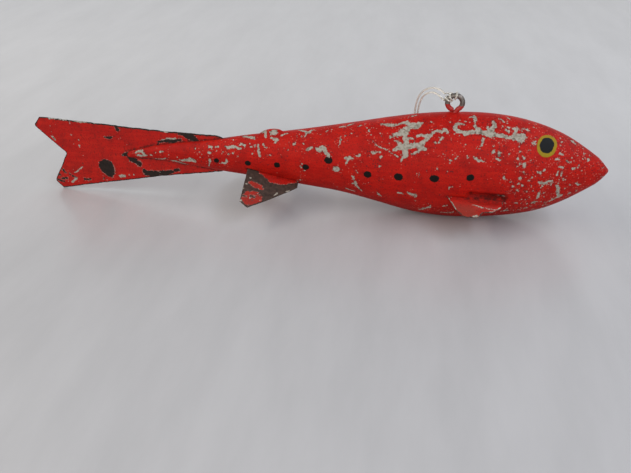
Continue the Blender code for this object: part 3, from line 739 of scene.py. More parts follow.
def chain_distance(places, chain):
    """Distance in mm to the edge of a chain of dabs: to each capsule between two dabs, and the least of them."""
    dabs = np.array(chain, float)
    if len(dabs) == 1:
        return np.linalg.norm(places - dabs[0, :2], axis=1) - dabs[0, 2]
    nearest = np.full(len(places), np.inf)
    for start, end in zip(dabs, dabs[1:]):
        way = end[:2] - start[:2]
        share = np.clip((places - start[:2]) @ way / (way @ way), 0.0, 1.0)
        reach = start[2] + share * (end[2] - start[2])
        distance = np.linalg.norm(places - start[:2] - share[:, None] * way, axis=1) - reach
        nearest = np.minimum(nearest, distance)
    return nearest


def random_chips(seed):
    """Chains for the far side: a start, then a few bends that mostly run along the fish."""
    rng = np.random.default_rng(seed)
    chips = []
    for _ in range(LEFT_CHIP_COUNT):
        along = rng.uniform(-68.0, 108.0)
        half_girth = float(np.interp(along, (-70, -30, 14, 56, 84, 112), (3, 9, 19, 26, 23, 6)))
        up = rng.uniform(-0.8, 0.85) * half_girth
        width = rng.uniform(0.25, 0.55) * (1.8 if rng.random() < 0.14 else 1.0)
        chain = [(along, up, width)]
        for _ in range(rng.integers(0, LEFT_CHIP_BENDS)):
            along += rng.uniform(1.0, 3.5)
            up += rng.uniform(-2.0, 2.0)
            chain.append((along, up, width * rng.uniform(0.5, 1.1)))
        chips.append(tuple(chain))
    return tuple(chips)


def chip_distance(rings, from_right, from_left):
    """The distance to the nearest chip in mm, on the right side's list and the left side's, after a small warp."""
    along = rings[..., 0].ravel() / MM
    # The same noise on both coordinates would only slide the chips, so each has its own.
    flat = rings.reshape(-1, 3)
    warp = np.stack([layered_noise(flat, 2.4 * MM, seed, layers=2) for seed in (21, 31)], axis=1) * 0.3
    nearest = np.full(len(along), np.inf)
    for chips, girth in ((RIGHT_CHIPS, from_right), (random_chips(5), from_left)):
        places = np.stack([along, girth.ravel() / MM], axis=1) + warp
        for chain in chips:
            nearest = np.minimum(nearest, chain_distance(places, chain))
    return nearest


# %% [markdown]
# The dots and the eye are dabs of paint, so they are handled the same way, on both sides of the fish. One
# dot has lost its black and shows the primer. The eye is a yellow oval with a black one on it, set a little
# high, so that more yellow is left below.

# %% Measure the dots and the eye
# Along the fish, up the flank, half length and half height, in mm.
DOTS = (
    (-36.7, -0.7, 1.15, 1.1),
    (-23.5, -0.9, 1.25, 1.15),
    (-11.5, -0.6, 1.3, 1.2),
    (0.1, -0.6, 1.35, 1.3),
    (9.1, 3.1, 1.6, 1.5),
    (24.4, -0.8, 1.55, 1.4),
    (36.1, -0.2, 1.7, 1.5),
    (49.4, 0.4, 1.75, 1.5),
    (62.4, 1.3, 1.45, 1.35),
)
LOST_DOT = (12.2, -0.2, 1.4, 1.2)
PAINTED_EYE = (88.8, 13.3)


def oval_distance(places, oval):
    """About the distance in mm to an oval's edge: how far out of it in its own radii, times its mean radius."""
    middle, half = np.array(oval[:2]), np.array(oval[2:])
    return (np.linalg.norm((places - middle) / half, axis=1) - 1.0) * half.mean()


def side_places(rings, from_right, from_left):
    """Place along the fish and up the flank of whichever side a point is on, in mm."""
    on_right = np.arange(BODY_SIDES)[None, :] <= BODY_SIDES // 2
    up = np.where(on_right, from_right, from_left)
    return np.stack([rings[..., 0].ravel(), up.ravel()], axis=1) / MM


# %% Build the body
SPECKS_BY_CHIPS = 1.4
SPECKS_REACH = 1.3
SEAM_REAR = -31.0
SEAM_MARGIN = 0.2


def body_wear(rings, from_right, from_left):
    """Every measure that the body's paint reads, by name."""
    places = side_places(rings, from_right, from_left)
    flat = rings.reshape(-1, 3)
    chips = np.minimum(chip_distance(rings, from_right, from_left), oval_distance(places, LOST_DOT))
    dots = np.min([oval_distance(places, dot) for dot in DOTS], axis=0)
    eye = np.concatenate([places - PAINTED_EYE, np.zeros((len(places), 1))], axis=1)
    # Knocks crowd on the head and along the belly's turn.
    head, belly = smoothstep(62.0, 92.0, places[:, 0]), smoothstep(-8.0, -17.0, places[:, 1])
    back = smoothstep(8.0, 18.0, places[:, 1])
    specks = 0.22 + 1.0 * head + 0.5 * belly + 0.35 * back
    specks += SPECKS_BY_CHIPS * np.exp(-np.clip(chips, 0.0, None) / SPECKS_REACH)
    # Painted shade: the flank darkens from a little below its widest line down to the belly.
    under = smoothstep(-4.0, -24.0, places[:, 1])
    # Behind its front edge the tail stands in a saw cut along the middle of the wood.
    ahead = smoothstep(SEAM_REAR - 1, SEAM_REAR + 1, places[:, 0])
    seam = np.abs(flat[:, 1]) / MM + SEAM_MARGIN + 6.0 * ahead
    return {
        "chip": np.clip(chips, -3.0, 6.0),
        "dot": np.clip(dots, -3.0, 6.0),
        "eye": np.clip(eye, -12.0, 12.0),
        "groove": np.clip(np.minimum(groove_distance(flat) / MM, seam), 0.0, 6.0),
        "specks": specks,
        "under": under,
        "pocket": np.clip(pocket_distance(flat) / MM, 0.0, 6.0),
    }


CHIP_DEPTH = 0.14 * MM


def make_body():
    measures = body_wear(bare_rings, from_right, from_left)
    rings = carve(bare_rings)
    depth = CHIP_DEPTH * (1 - smoothstep(-0.35, 0.25, measures["chip"])).reshape(rings.shape[:2])
    rings = rings - outward(rings) * depth[..., None]
    rings[..., 2] = np.maximum(rings[..., 2], 0.0)
    middles = (bare_rings[[0, -1], BODY_SIDES // 4] + bare_rings[[0, -1], 3 * BODY_SIDES // 4]) / 2
    middles[:, 0] = BODY_STATIONS[[0, -1], 0]
    count = rings.shape[0] * BODY_SIDES
    points = np.vstack([rings.reshape(-1, 3), middles])
    fans = end_fans(rings.shape[0], BODY_SIDES, count, count + 1)
    body = new_piece("carved_body", points, ring_quads(rings.shape[0], BODY_SIDES), fans)
    for name, values in measures.items():
        ends = values[[0, count - 1]]
        add_measure(body, name, np.concatenate([values, ends]))
    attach(body, "root")
    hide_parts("body")
    return body


body = make_body()

# %% [markdown]
# ## The sheet-iron tail and fins
#
# The tail and the four fins were cut with snips from thin sheet and let into saw cuts. A flat outline with
# Solidify would have square, perfect edges. A sheet with worn, slightly rounded edges and a few nicks is
# made instead from two faces that meet in a round rim: the middle surface is a grid, and its half
# thickness falls to nothing within 0.3 mm of the edge along a quarter circle.

# %% Make a sheet with a round rim
SHEET = 0.6 * MM
RIM = SHEET / 2
RIM_SHARES = np.array([0.0, 0.06, 0.25, 0.55])
SOFT_STEPS = 9


def shares_with_rims(count, length):
    """Shares from 0 to 1, even between the rims, with a few more inside each rim where it curves."""
    rim = RIM_SHARES * RIM / length
    middle = np.linspace(RIM / length, 1 - RIM / length, count)
    return np.concatenate([rim, middle, 1 - rim[::-1]])


def soft_line(x, corners, reach):
    """The polyline through the corners, averaged over reach to each side, which rounds its corners."""
    corners = np.asarray(corners, float)
    offsets = np.linspace(-reach, reach, SOFT_STEPS)
    return np.mean([np.interp(x + offset, corners[:, 0], corners[:, 1]) for offset in offsets], axis=0)


def edge_distance(middle):
    """Distance from each point of a grid to its nearest edge, measured along the grid's own lines."""
    found = []
    for axis in (0, 1):
        steps = np.linalg.norm(np.diff(middle, axis=axis), axis=2)
        start = np.zeros_like(np.take(steps, [0], axis=axis))
        from_start = np.cumsum(np.concatenate([start, steps], axis=axis), axis=axis)
        found.extend([from_start, np.take(from_start, [-1], axis=axis) - from_start])
    return np.min(found, axis=0)


def rimmed_sheet(name, middle):
    """Two faces, half the sheet to each side of the middle surface, that share the points round their edge."""
    rows, columns = middle.shape[:2]
    normal = np.cross(np.gradient(middle, axis=0), np.gradient(middle, axis=1))
    normal /= np.maximum(np.linalg.norm(normal, axis=2, keepdims=True), 1e-12)
    inside = np.clip(1 - edge_distance(middle) / RIM, 0.0, 1.0)
    half = RIM * np.sqrt(1 - inside**2)[..., None]
    on_edge = np.ones((rows, columns), bool)
    on_edge[1:-1, 1:-1] = False
    front_index = np.arange(rows * columns).reshape(rows, columns)
    back_index = front_index.copy()
    back_index[~on_edge] = rows * columns + np.arange((~on_edge).sum())
    points = np.vstack([(middle + normal * half).reshape(-1, 3), (middle - normal * half)[~on_edge]])
    quads, triangles = [], []
    for index, order in ((front_index, 1), (back_index, -1)):
        cells = np.stack((index[:-1, :-1], index[1:, :-1], index[1:, 1:], index[:-1, 1:]), axis=-1)
        whole = np.ones(cells.shape[:2], bool)
        # A corner's cell has one point off the edge. It is split there, so that the faces never meet flat.
        for turn, corner in enumerate(((0, 0), (-1, 0), (-1, -1), (0, -1))):
            loop = np.roll(cells[corner], -turn)
            triangles.extend([loop[[0, 1, 2]][::order], loop[[0, 2, 3]][::order]])
            whole[corner] = False
        quads.append(cells[whole][:, ::order])
    piece = new_piece(name, points, np.concatenate(quads), triangles)
    return piece, on_edge, normal


def both_faces(front, back, on_edge):
    """One measure for all points of a rimmed sheet: the front face's grid, then the inner part of the back's."""
    return np.concatenate([front.ravel(), back[~on_edge]])


# %% [markdown]
# The wear of a sheet is laid out like the body's, in millimetres on its own plane. Where the enamel has
# gone down to the iron the measure is called bare, and where only the grey primer shows, pale.

# %% List the wear of the tail
TAIL_BARE = (
    ((-86.0, 11.3, 3.1), (-85.5, 9.7, 3.1)),
    ((-84.8, 7.9, 1.5), (-84.4, 7.0, 0.8)),
    ((-62.0, 23.6, 0.5), (-58.5, 24.2, 0.7), (-55.0, 24.6, 0.6), (-52.0, 24.9, 0.4)),
    ((-79.4, 30.2, 0.7), (-78.6, 28.0, 0.8)),
    ((-84.5, 24.5, 0.3), (-82.6, 24.4, 0.6), (-81.6, 24.8, 0.3)),
    ((-74.6, 15.2, 0.9), (-72.5, 14.0, 1.0), (-71.0, 13.0, 0.8)),
    ((-69.6, 10.3, 0.9), (-68.2, 9.0, 0.9)),
    ((-68.5, 9.1, 1.0), (-66.0, 9.0, 1.6), (-63.5, 9.3, 0.9)),
    ((-62.5, 9.7, 0.8), (-60.0, 9.8, 1.3), (-57.5, 10.6, 0.7)),
    ((-56.2, 11.2, 0.4), (-54.8, 11.4, 0.5)),
    ((-53.5, 28.3, 0.8), (-50.3, 27.6, 1.3), (-47.5, 26.0, 1.3), (-45.0, 24.6, 0.7)),
    ((-77.8, 16.9, 0.8), (-75.5, 17.0, 0.9), (-73.8, 17.8, 0.6)),
    ((-105.8, 8.4, 0.5), (-104.9, 7.2, 0.35)),
    ((-107.6, 5.9, 0.4),),
    ((-103.1, 6.6, 0.35),),
    ((-101.8, 5.6, 0.5), (-100.5, 5.2, 0.35)),
    ((-108.4, 3.8, 0.5), (-106.4, 2.9, 0.4)),
    ((-106.6, 4.4, 0.5), (-104.6, 4.7, 0.5)),
    ((-96.8, 4.9, 0.35), (-94.5, 4.6, 0.4)),
    ((-88.1, 5.0, 0.4),),
)
TAIL_PALE = (
    ((-100.7, 7.7, 0.2), (-98.7, 8.7, 0.3), (-96.6, 10.2, 0.3)),
    ((-102.4, 3.3, 0.5), (-100.8, 4.4, 0.5)),
    ((-80.3, 6.9, 0.7), (-78.9, 7.2, 0.6)),
    ((-96.2, 22.5, 0.35),),
    ((-96.3, 19.6, 0.4),),
    ((-99.2, 24.9, 0.25),),
    ((-76.6, 7.8, 0.3),),
    ((-74.9, 7.9, 0.3),),
    ((-107.8, 23.6, 0.5), (-106.4, 21.9, 0.35)),
    ((-107.6, 31.3, 0.3), (-105.0, 31.5, 0.3), (-100.2, 31.3, 0.4)),
    ((-97.3, 31.0, 0.3), (-93.0, 30.8, 0.2), (-88.3, 30.5, 0.3)),
    ((-60.2, 28.3, 0.4), (-57.5, 28.2, 0.3)),
    ((-60.5, 24.7, 0.25), (-57.0, 25.2, 0.3), (-54.0, 25.6, 0.25)),
)
TAIL_BARE_LEFT = (
    ((-96.0, 26.0, 1.0), (-92.5, 27.2, 1.6), (-90.0, 27.6, 0.8)),
    ((-70.0, 9.6, 0.9), (-66.0, 10.2, 1.1), (-62.5, 10.6, 0.6)),
    ((-80.5, 18.0, 0.5), (-78.0, 17.2, 0.9), (-76.0, 17.0, 0.6)),
    ((-104.0, 6.0, 0.6), (-102.0, 5.2, 0.9)),
    ((-58.0, 27.4, 0.5), (-53.5, 26.6, 0.9)),
)
TAIL_PALE_LEFT = (
    ((-88.0, 20.5, 0.3), (-85.5, 21.8, 0.4), (-83.0, 22.0, 0.25)),
    ((-100.0, 10.5, 0.4), (-98.5, 9.0, 0.3)),
    ((-109.0, 27.6, 0.5), (-107.5, 26.2, 0.4)),
    ((-73.0, 25.5, 0.35),),
)

# %% Cut the tail
# The fork's rear edge as (z, x), and the lower and upper edges as (x, z), in mm.
FORK = ((0.0, -107.0), (3.4, -110.1), (16.3, -102.6), (28.2, -114.9), (31.8, -111.8))
TAIL_LOW = ((-107.0, 0.0), (-60.0, 8.6), (-36.5, 11.9), (-31.0, 14.5))
TAIL_TOP = ((-111.8, 31.8), (-60.0, 28.4), (-36.5, 27.6), (-31.0, 24.5))
TAIL_FRONT = -31.0
TAIL_HEIGHT = 31.8
TAIL_ROWS, TAIL_COLUMNS = 300, 116
TAIL_WAVE = 0.45 * MM
NICK_SIZE = 2.6 * MM
NICK_DEPTH = 0.22
RUBBED = 0.5


def edge_noise(values, seed):
    """Small wear along an edge, in mm: noise along one coordinate, stronger where it bites inwards."""
    line = np.stack([values, np.zeros_like(values), np.zeros_like(values)], axis=-1) * MM
    noise = layered_noise(line.reshape(-1, 3), NICK_SIZE, seed).reshape(values.shape)
    return NICK_DEPTH * (noise - 0.8 * smoothstep(0.35, 0.8, noise))


def chains_distance(places, chains):
    return np.min([chain_distance(places, chain) for chain in chains], axis=0)


def sheet_wear(piece, on_edge, places, bare, pale, rub):
    """Adds the measures bare, pale and rub, each given for the front and the back face."""
    flat = np.stack([places[..., 0], places[..., 1], np.zeros_like(places[..., 0])], axis=-1).reshape(-1, 3)
    warp = np.stack([layered_noise(flat, 2.0, seed, layers=2) for seed in (41, 51)], axis=1) * 0.6
    warped = places.reshape(-1, 2) + warp
    for name, chains in (("bare", bare), ("pale", pale)):
        faces = [np.clip(measure(warped), -4.0, 6.0).reshape(on_edge.shape) for measure in chains]
        add_measure(piece, name, both_faces(*faces, on_edge))
    add_measure(piece, "rub", both_faces(rub, rub, on_edge))


def from_wood(places):
    """How far a place on the tail's plane is above or below the wood, or behind its tip, in mm."""
    x, z = places[..., 0], places[..., 1]
    inside = np.clip(x * MM, BODY_STATIONS[0, 0], None)
    top, bottom = through_stations(1, inside) / MM, through_stations(2, inside) / MM
    behind = np.clip(BODY_STATIONS[0, 0] / MM - x, 0.0, None)
    return np.hypot(np.maximum(np.maximum(z - top, bottom - z), 0.0), behind)


def make_tail():
    u = shares_with_rims(TAIL_ROWS, 80 * MM)[:, None]
    v = shares_with_rims(TAIL_COLUMNS, 22 * MM)[None, :]
    rear = soft_line(v * TAIL_HEIGHT, FORK, 0.7) + edge_noise(v * TAIL_HEIGHT, 61)
    x = TAIL_FRONT + u * (rear - TAIL_FRONT)
    low = soft_line(x, TAIL_LOW, 1.2) - edge_noise(x, 62) * smoothstep(-105.0, -100.0, x)
    top = soft_line(x, TAIL_TOP, 1.2) + edge_noise(x, 63)
    z = low + v * (top - low)
    places = np.stack(np.broadcast_arrays(x, z), axis=-1)
    flat = np.stack([places[..., 0], np.zeros_like(z), places[..., 1]], axis=-1) * MM
    wave = TAIL_WAVE * layered_noise(flat.reshape(-1, 3), 26 * MM, seed=71, layers=2).reshape(z.shape)
    flat[..., 1] = wave * smoothstep(-62.0, -85.0, places[..., 0])
    tail, on_edge, normal = rimmed_sheet("tail_sheet", flat)
    right_first = normal[..., 1].mean() < 0
    right = (lambda p: chains_distance(p, TAIL_BARE), lambda p: chains_distance(p, TAIL_PALE))
    left = (lambda p: chains_distance(p, TAIL_BARE_LEFT), lambda p: chains_distance(p, TAIL_PALE_LEFT))
    front, back = (right, left) if right_first else (left, right)
    rub = np.clip(edge_distance(flat) / MM - RUBBED, -1.0, 6.0)
    sheet_wear(tail, on_edge, places, (front[0], back[0]), (front[1], back[1]), rub)
    seam = np.clip(from_wood(places) - 0.35, 0.0, 6.0)
    add_measure(tail, "seam", both_faces(seam, seam, on_edge))
    for name, value in (("dust", 0.0), ("root_grime_and_shade", 0.0), ("brown", 0.3)):
        add_measure(tail, name, np.full(len(tail.data.vertices), value))
    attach(tail, "root")
    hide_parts("tail_fin")
    return tail


tail = make_tail()

# %% [markdown]
# The pectoral fins are small leaves with a crease, close under the deepest part of the belly, and the
# pelvic fins are larger, with five sides. Both splay outwards. The right pelvic fin has lost most of its
# enamel, so what is listed for it is where paint is left, and the measure is turned round.

# %% List the wear of the fins
# All in mm along the root and out from it, as the outlines are.
PECTORAL_LOW = (
    (0.0, 0.0), (3.2, 6.3), (6.4, 9.9), (11.4, 9.5), (13.1, 6.9), (16.4, 6.6), (20.2, 4.1), (21.3, 0.0),
)
PELVIC_LOW = ((1.3, 16.4), (4.8, 18.6), (21.3, 3.3))
SPLAY = math.radians(65.0)
PECTORAL_PALE = (
    ((9.2, 3.9, 0.1), (11.5, 4.7, 0.15), (14.8, 5.2, 0.1), (18.6, 4.9, 0.1)),
    ((0.4, 0.6, 0.1), (1.5, 2.3, 0.15), (2.6, 4.6, 0.2), (3.7, 7.4, 0.1)),
    ((9.6, 9.4, 0.4), (11.0, 9.0, 0.45)),
    ((15.9, 6.4, 0.15), (18.5, 5.4, 0.2), (19.9, 4.4, 0.2)),
)
PECTORAL_BARE = (((12.1, 8.8, 0.4), (12.9, 7.3, 0.35)), ((20.7, 2.0, 0.35),))
PELVIC_PAINT = (
    ((5.6, 0.0, 0.8), (8.0, 0.5, 1.7), (12.6, 1.5, 2.3), (16.1, 1.1, 2.1), (20.2, 0.0, 1.2)),
    ((10.5, 3.0, 1.3), (14.6, 2.7, 1.3)),
    ((3.3, 6.6, 1.0), (5.5, 7.0, 1.3), (7.6, 7.6, 0.9)),
    ((3.3, 12.1, 1.2), (2.9, 15.0, 1.4), (4.6, 15.8, 1.9), (7.3, 14.0, 1.9), (8.0, 12.0, 1.1)),
    ((5.0, 11.4, 1.2), (6.5, 11.1, 1.1)),
)
PELVIC_HOLE = (((5.3, 12.9, 0.25), (6.3, 12.9, 0.35)), ((2.2, 13.3, 0.25), (3.2, 13.8, 0.2)))
PELVIC_PALE = (
    ((2.7, 4.3, 0.45),),
    ((1.4, 7.9, 0.45),),
    ((1.1, 9.9, 0.4),),
    ((1.6, 15.9, 0.5),),
    ((13.8, 9.9, 0.25), (14.7, 8.6, 0.35)),
    ((17.5, 6.3, 0.2), (18.7, 5.4, 0.25)),
    ((20.6, 0.0, 0.5),),
    ((4.4, 14.0, 0.35),),
    ((8.3, 13.4, 0.3),),
)
LEFT_FIN_BARE = (((2.6, 5.0, 0.5), (4.8, 7.4, 1.3), (6.4, 8.6, 0.8)), ((15.0, 2.6, 0.5), (17.2, 3.4, 0.9)))
LEFT_FIN_PALE = (((8.5, 2.4, 0.3), (10.5, 4.2, 0.4)), ((11.6, 6.4, 0.3), (12.8, 5.4, 0.3)))

# %% Bend and place the fins
FIN_ROWS, FIN_COLUMNS = 96, 60
FIN_SUNK = 2.0
PECTORAL_DUST, PELVIC_DUST = 0.6, 0.35
PECTORAL_GRIME_AND_SHADE, PELVIC_GRIME_AND_SHADE = 0.85, 0.15
PECTORAL_RUBBED, PELVIC_RUBBED = 0.12, 0.5
FIN_CURL = 0.7
CREASE_START, CREASE_HEIGHT, CREASE_REACH, CREASE_HALF = 8.6, 0.45, 4.0, 1.1


def painted_left(places):
    """For a fin that kept little paint: below zero out of the patches that are left, and in the hole of one."""
    return np.minimum(-chains_distance(places, PELVIC_PAINT), chains_distance(places, PELVIC_HOLE))


def make_fin(name, node, root, low, bend, worn, plain, dust, root_grime_and_shade, rubbed):
    """A fin's middle surface: from a line sunk in the wood to its outer outline, then bent out of its plane."""
    left = root[0, 1] > 0
    start = root[0]
    along = (root[1] - root[0]) / np.linalg.norm(root[1] - root[0])
    down = np.array([0.0, math.sin(SPLAY) * (1 if left else -1), -math.cos(SPLAY)])
    down = down - along * (down @ along)
    down /= np.linalg.norm(down)
    out = np.cross(along, down) * (1 if left else -1)
    low = np.array(low)
    length = np.linalg.norm(root[1] - root[0]) / MM
    u = shares_with_rims(FIN_ROWS, length * MM)[:, None]
    v = shares_with_rims(FIN_COLUMNS, 12 * MM)[None, :]
    low_a = low[0, 0] + u * (low[-1, 0] - low[0, 0])
    low_b = soft_line(low_a, low, 0.35) + edge_noise(low_a, 81 if left else 82)
    a = (1 - v) * u * length + v * low_a
    b = -(1 - v) * FIN_SUNK + v * low_b
    places = np.stack([a, b], axis=-1)
    lift = bend(a, b)
    middle = start + MM * (a[..., None] * along + b[..., None] * down + lift[..., None] * out)
    fin, on_edge, normal = rimmed_sheet(name, middle)
    front_out = np.sum(normal * out) > 0
    front, back = (worn, plain) if front_out else (plain, worn)
    rub = np.clip(edge_distance(middle) / MM - rubbed, -1.0, 6.0)
    add_measure(fin, "seam", np.full(len(fin.data.vertices), 6.0))
    # Dust lies on the outer part and the rear leaf; grime and painted shade lie close to the root and towards the
    # front.
    dusty = dust * smoothstep(1.0, 6.0, b) * (1 - 0.7 * smoothstep(9.0, 13.0, a))
    root_grime_and_shade_share = root_grime_and_shade * (1 - smoothstep(0.4, 3.8, b)) * (0.45 + 0.55 * smoothstep(3.0, 9.0, a))
    add_measure(fin, "dust", both_faces(dusty, dusty, on_edge))
    add_measure(fin, "root_grime_and_shade", both_faces(root_grime_and_shade_share, root_grime_and_shade_share, on_edge))
    add_measure(fin, "brown", np.ones(len(fin.data.vertices)))
    sheet_wear(fin, on_edge, places, (front[0], back[0]), (front[1], back[1]), rub)
    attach(fin, "root")
    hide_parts(node)
    return fin


def pectoral_bend(a, b):
    """A curl upwards near the outer edge, and a crease that runs from the middle to the front edge."""
    curl = FIN_CURL * smoothstep(4.0, 11.0, b) ** 2
    crease = np.exp(-(((b - CREASE_REACH) / CREASE_HALF) ** 2)) * smoothstep(CREASE_START, CREASE_START + 2.5, a)
    return curl + CREASE_HEIGHT * crease


def pelvic_bend(a, b):
    """A slow wave, as thin sheet has once it has been handled."""
    return 0.35 * np.sin(0.24 * a + 0.9) * smoothstep(0.0, 11.0, b)


def on_chains(chains):
    return lambda places: chains_distance(places, chains)


worn_pectoral = (on_chains(PECTORAL_BARE), on_chains(PECTORAL_PALE))
worn_pelvic = (painted_left, on_chains(PELVIC_PALE))
worn_left = (on_chains(LEFT_FIN_BARE), on_chains(LEFT_FIN_PALE))
fins = []
for side, place, worn in (("right", lambda line: line, True), ("left", mirrored, False)):
    pectoral = worn_pectoral if worn else worn_left
    pelvic = worn_pelvic if worn else worn_left
    fins.append(make_fin(
        f"pectoral_sheet_{side}", f"pectoral_fin_{side}", place(PECTORAL_ROOT),
        PECTORAL_LOW, pectoral_bend, pectoral, worn_left, PECTORAL_DUST, PECTORAL_GRIME_AND_SHADE, PECTORAL_RUBBED,
    ))
    fins.append(make_fin(
        f"pelvic_sheet_{side}", f"pelvic_fin_{side}", place(PELVIC_ROOT),
        PELVIC_LOW, pelvic_bend, pelvic, worn_left, PELVIC_DUST, PELVIC_GRIME_AND_SHADE, PELVIC_RUBBED,
    ))

# %% [markdown]
# ## The wire eye
#
# A screw eye is one piece of steel wire: a threaded shank, and a ring bent almost back to it. The thread is
# in the wood and doesn't show, so only the bend is swept here, with the small unevenness of hand-bent wire.

# %% Bend the wire eye
EYE_RING_START = math.radians(-60.0)
EYE_RING_END = math.radians(238.0)
EYE_SHANK_TOP = 6.0 * MM
EYE_NECK = 4.3 * MM
EYE_SUNK = 10.0 * MM
# Enamel has filled the gap between the ring's end and the neck.
EYE_PAINT_END = math.radians(266.0)
EYE_PAINT_SHRINK = 0.8
EYE_STEPS = 48
EYE_SPACING = 0.12 * MM
EYE_SIDES = 40
WIRE_DENTS = 0.035 * MM


def eye_route():
    """Up the shank, over the neck and round the ring, as points from its centre."""
    turn = np.linspace(EYE_RING_START, EYE_PAINT_END, EYE_STEPS)
    ring = EYE_RING_RADIUS * np.stack([np.cos(turn), np.zeros_like(turn), np.sin(turn)], axis=1)
    neck = np.array([0.0, 0.0, -EYE_NECK])
    rise = [neck + (ring[0] - neck) * share for share in (0.3, 0.65)]
    shank = np.array([(0.0, 0.0, -EYE_SUNK), (0.0, 0.0, -EYE_SHANK_TOP)])
    return EYE_CENTRE + np.vstack([shank, neck, rise, ring])


def make_wire_eye():
    path = smooth_route(eye_route(), EYE_SPACING)
    dents = layered_noise(path, 1.6 * MM, seed=91, layers=2)
    from_end = np.linalg.norm(path - path[-1], axis=1)
    cut = end_rounding(np.clip(from_end, 0.02 * EYE_WIRE_RADIUS, None), 0.35 * EYE_WIRE_RADIUS)
    filled = EYE_RING_RADIUS * (EYE_PAINT_END - EYE_RING_END)
    beyond = 1 - smoothstep(0.0, filled, from_end)
    radii = (EYE_WIRE_RADIUS + WIRE_DENTS * dents) * cut * (1 - (1 - EYE_PAINT_SHRINK) * beyond)
    eye = sweep_tube("wire_eye", path, radii, EYE_SIDES)
    # Enamel: in that gap, on the neck, and thinning out up the ring's rear side.
    offset = (path - EYE_CENTRE) / MM
    painted = np.minimum(offset[:, 2] + 2.5, from_end / MM - 3.2)
    painted = np.minimum(painted, np.hypot(offset[:, 0] + 2.2, offset[:, 2] + 1.6) - 1.2)
    painted = np.repeat(painted, EYE_SIDES)
    add_measure(eye, "paint", np.clip(np.concatenate([painted, painted[[0, -1]]]), -3.0, 6.0))
    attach(eye, "root")
    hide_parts("screw_eye")
    return eye


wire_eye = make_wire_eye()

# %% [markdown]
# ## Red enamel, primer and wear
#
# The paint is brushed oil enamel over a pale grey primer. One function builds the enamel's own colour,
# because the wood and the sheet wear the same coat, and another turns a measured distance into a ragged
# mask. An image texture could hold all of this, but it would have to be painted by hand and would blur
# close up.

# %% Parts that the paints share
BUMP_UNIT = 0.001


def ragged_mask(tree, place, measure, size, amount, soft):
    """One where a distance in mm is below zero, after noise of this size (m) and amount (mm) roughens it."""
    noise = add_node(
        tree, "ShaderNodeTexNoise", {"Vector": place, "Scale": 1 / size, "Detail": 5.0, "Roughness": 0.7},
    )
    shift = add_node(
        tree, "ShaderNodeMapRange",
        {"Value": noise, "From Min": 0.25, "From Max": 0.75, "To Min": -amount, "To Max": amount},
    )
    total = add_node(tree, "ShaderNodeMath", {0: measure, 1: shift}, operation="ADD")
    return add_node(tree, "ShaderNodeMapRange", {"Value": total, "From Min": soft, "From Max": -soft})


def speck_mask(tree, place, size, share):
    """Specks in this share of cells of this size (m): a shaken Voronoi pattern, one spot in a chosen cell."""
    shaken = add_node(tree, "ShaderNodeTexNoise", {"Vector": place, "Scale": 2.2 / size, "Detail": 3.0})
    shake = add_node(
        tree, "ShaderNodeVectorMath", {0: shaken.outputs["Color"], 1: (0.9 * size,) * 3}, operation="MULTIPLY",
    )
    moved = add_node(tree, "ShaderNodeVectorMath", {0: place, 1: shake}, operation="ADD")
    cells = add_node(tree, "ShaderNodeTexVoronoi", {"Vector": moved, "Scale": 1 / size})
    draw = add_node(tree, "ShaderNodeSeparateColor", {"Color": cells.outputs["Color"]})
    # A broad noise gathers the specks in patches.
    crowd = add_node(tree, "ShaderNodeTexNoise", {"Vector": place, "Scale": 0.09 / size, "Detail": 3.0})
    crowd = add_node(
        tree, "ShaderNodeMapRange",
        {"Value": crowd, "From Min": 0.35, "From Max": 0.65, "To Min": 0.25, "To Max": 1.75},
    )
    share = add_node(tree, "ShaderNodeMath", {0: crowd, 1: share}, operation="MULTIPLY")
    luck = add_node(tree, "ShaderNodeMath", {0: draw.outputs["Red"], 1: share}, operation="ADD")
    reach = add_node(
        tree, "ShaderNodeMapRange",
        {"Value": luck, "From Min": 1.0, "From Max": 1.06, "To Min": -0.1, "To Max": 0.34},
    )
    beyond = add_node(tree, "ShaderNodeMath", {0: cells.outputs["Distance"], 1: reach}, operation="SUBTRACT")
    return add_node(tree, "ShaderNodeMapRange", {"Value": beyond, "From Min": 0.04, "From Max": -0.04})


def enamel_colour(tree, place):
    """The red: brush streaks along the fish, slow blotches, and fine dark grime in the pores."""
    stretched = add_node(tree, "ShaderNodeMapping", {"Vector": place, "Scale": (0.07, 1.0, 1.0)})
    streaks = add_node(tree, "ShaderNodeTexNoise", {"Vector": stretched, "Scale": 1 / (1.1 * MM), "Detail": 5.0})
    streak_share = add_node(tree, "ShaderNodeMapRange", {"Value": streaks, "From Min": 0.3, "From Max": 0.7})
    red = add_node(
        tree, "ShaderNodeMix",
        {"Factor": streak_share, "A": linear("#A50A04"), "B": linear("#B2190B")}, data_type="RGBA",
    )
    blotches = add_node(
        tree, "ShaderNodeTexNoise",
        {"Vector": place, "Scale": 1 / (6 * MM), "Detail": 8.0, "Roughness": 0.72},
    )
    blotch_share = add_node(
        tree, "ShaderNodeMapRange",
        {"Value": blotches, "From Min": 0.45, "From Max": 0.68, "To Max": 0.75},
    )
    aged = add_node(
        tree, "ShaderNodeMix", {"Factor": blotch_share, "A": red, "B": linear("#860C07")}, data_type="RGBA",
    )
    pores = add_node(tree, "ShaderNodeTexNoise", {"Vector": place, "Scale": 1 / (0.55 * MM), "Detail": 3.0})
    pore_share = add_node(
        tree, "ShaderNodeMapRange", {"Value": pores, "From Min": 0.54, "From Max": 0.7, "To Max": 0.7},
    )
    return add_node(
        tree, "ShaderNodeMix", {"Factor": pore_share, "A": aged, "B": linear("#5E0E09")}, data_type="RGBA",
    )


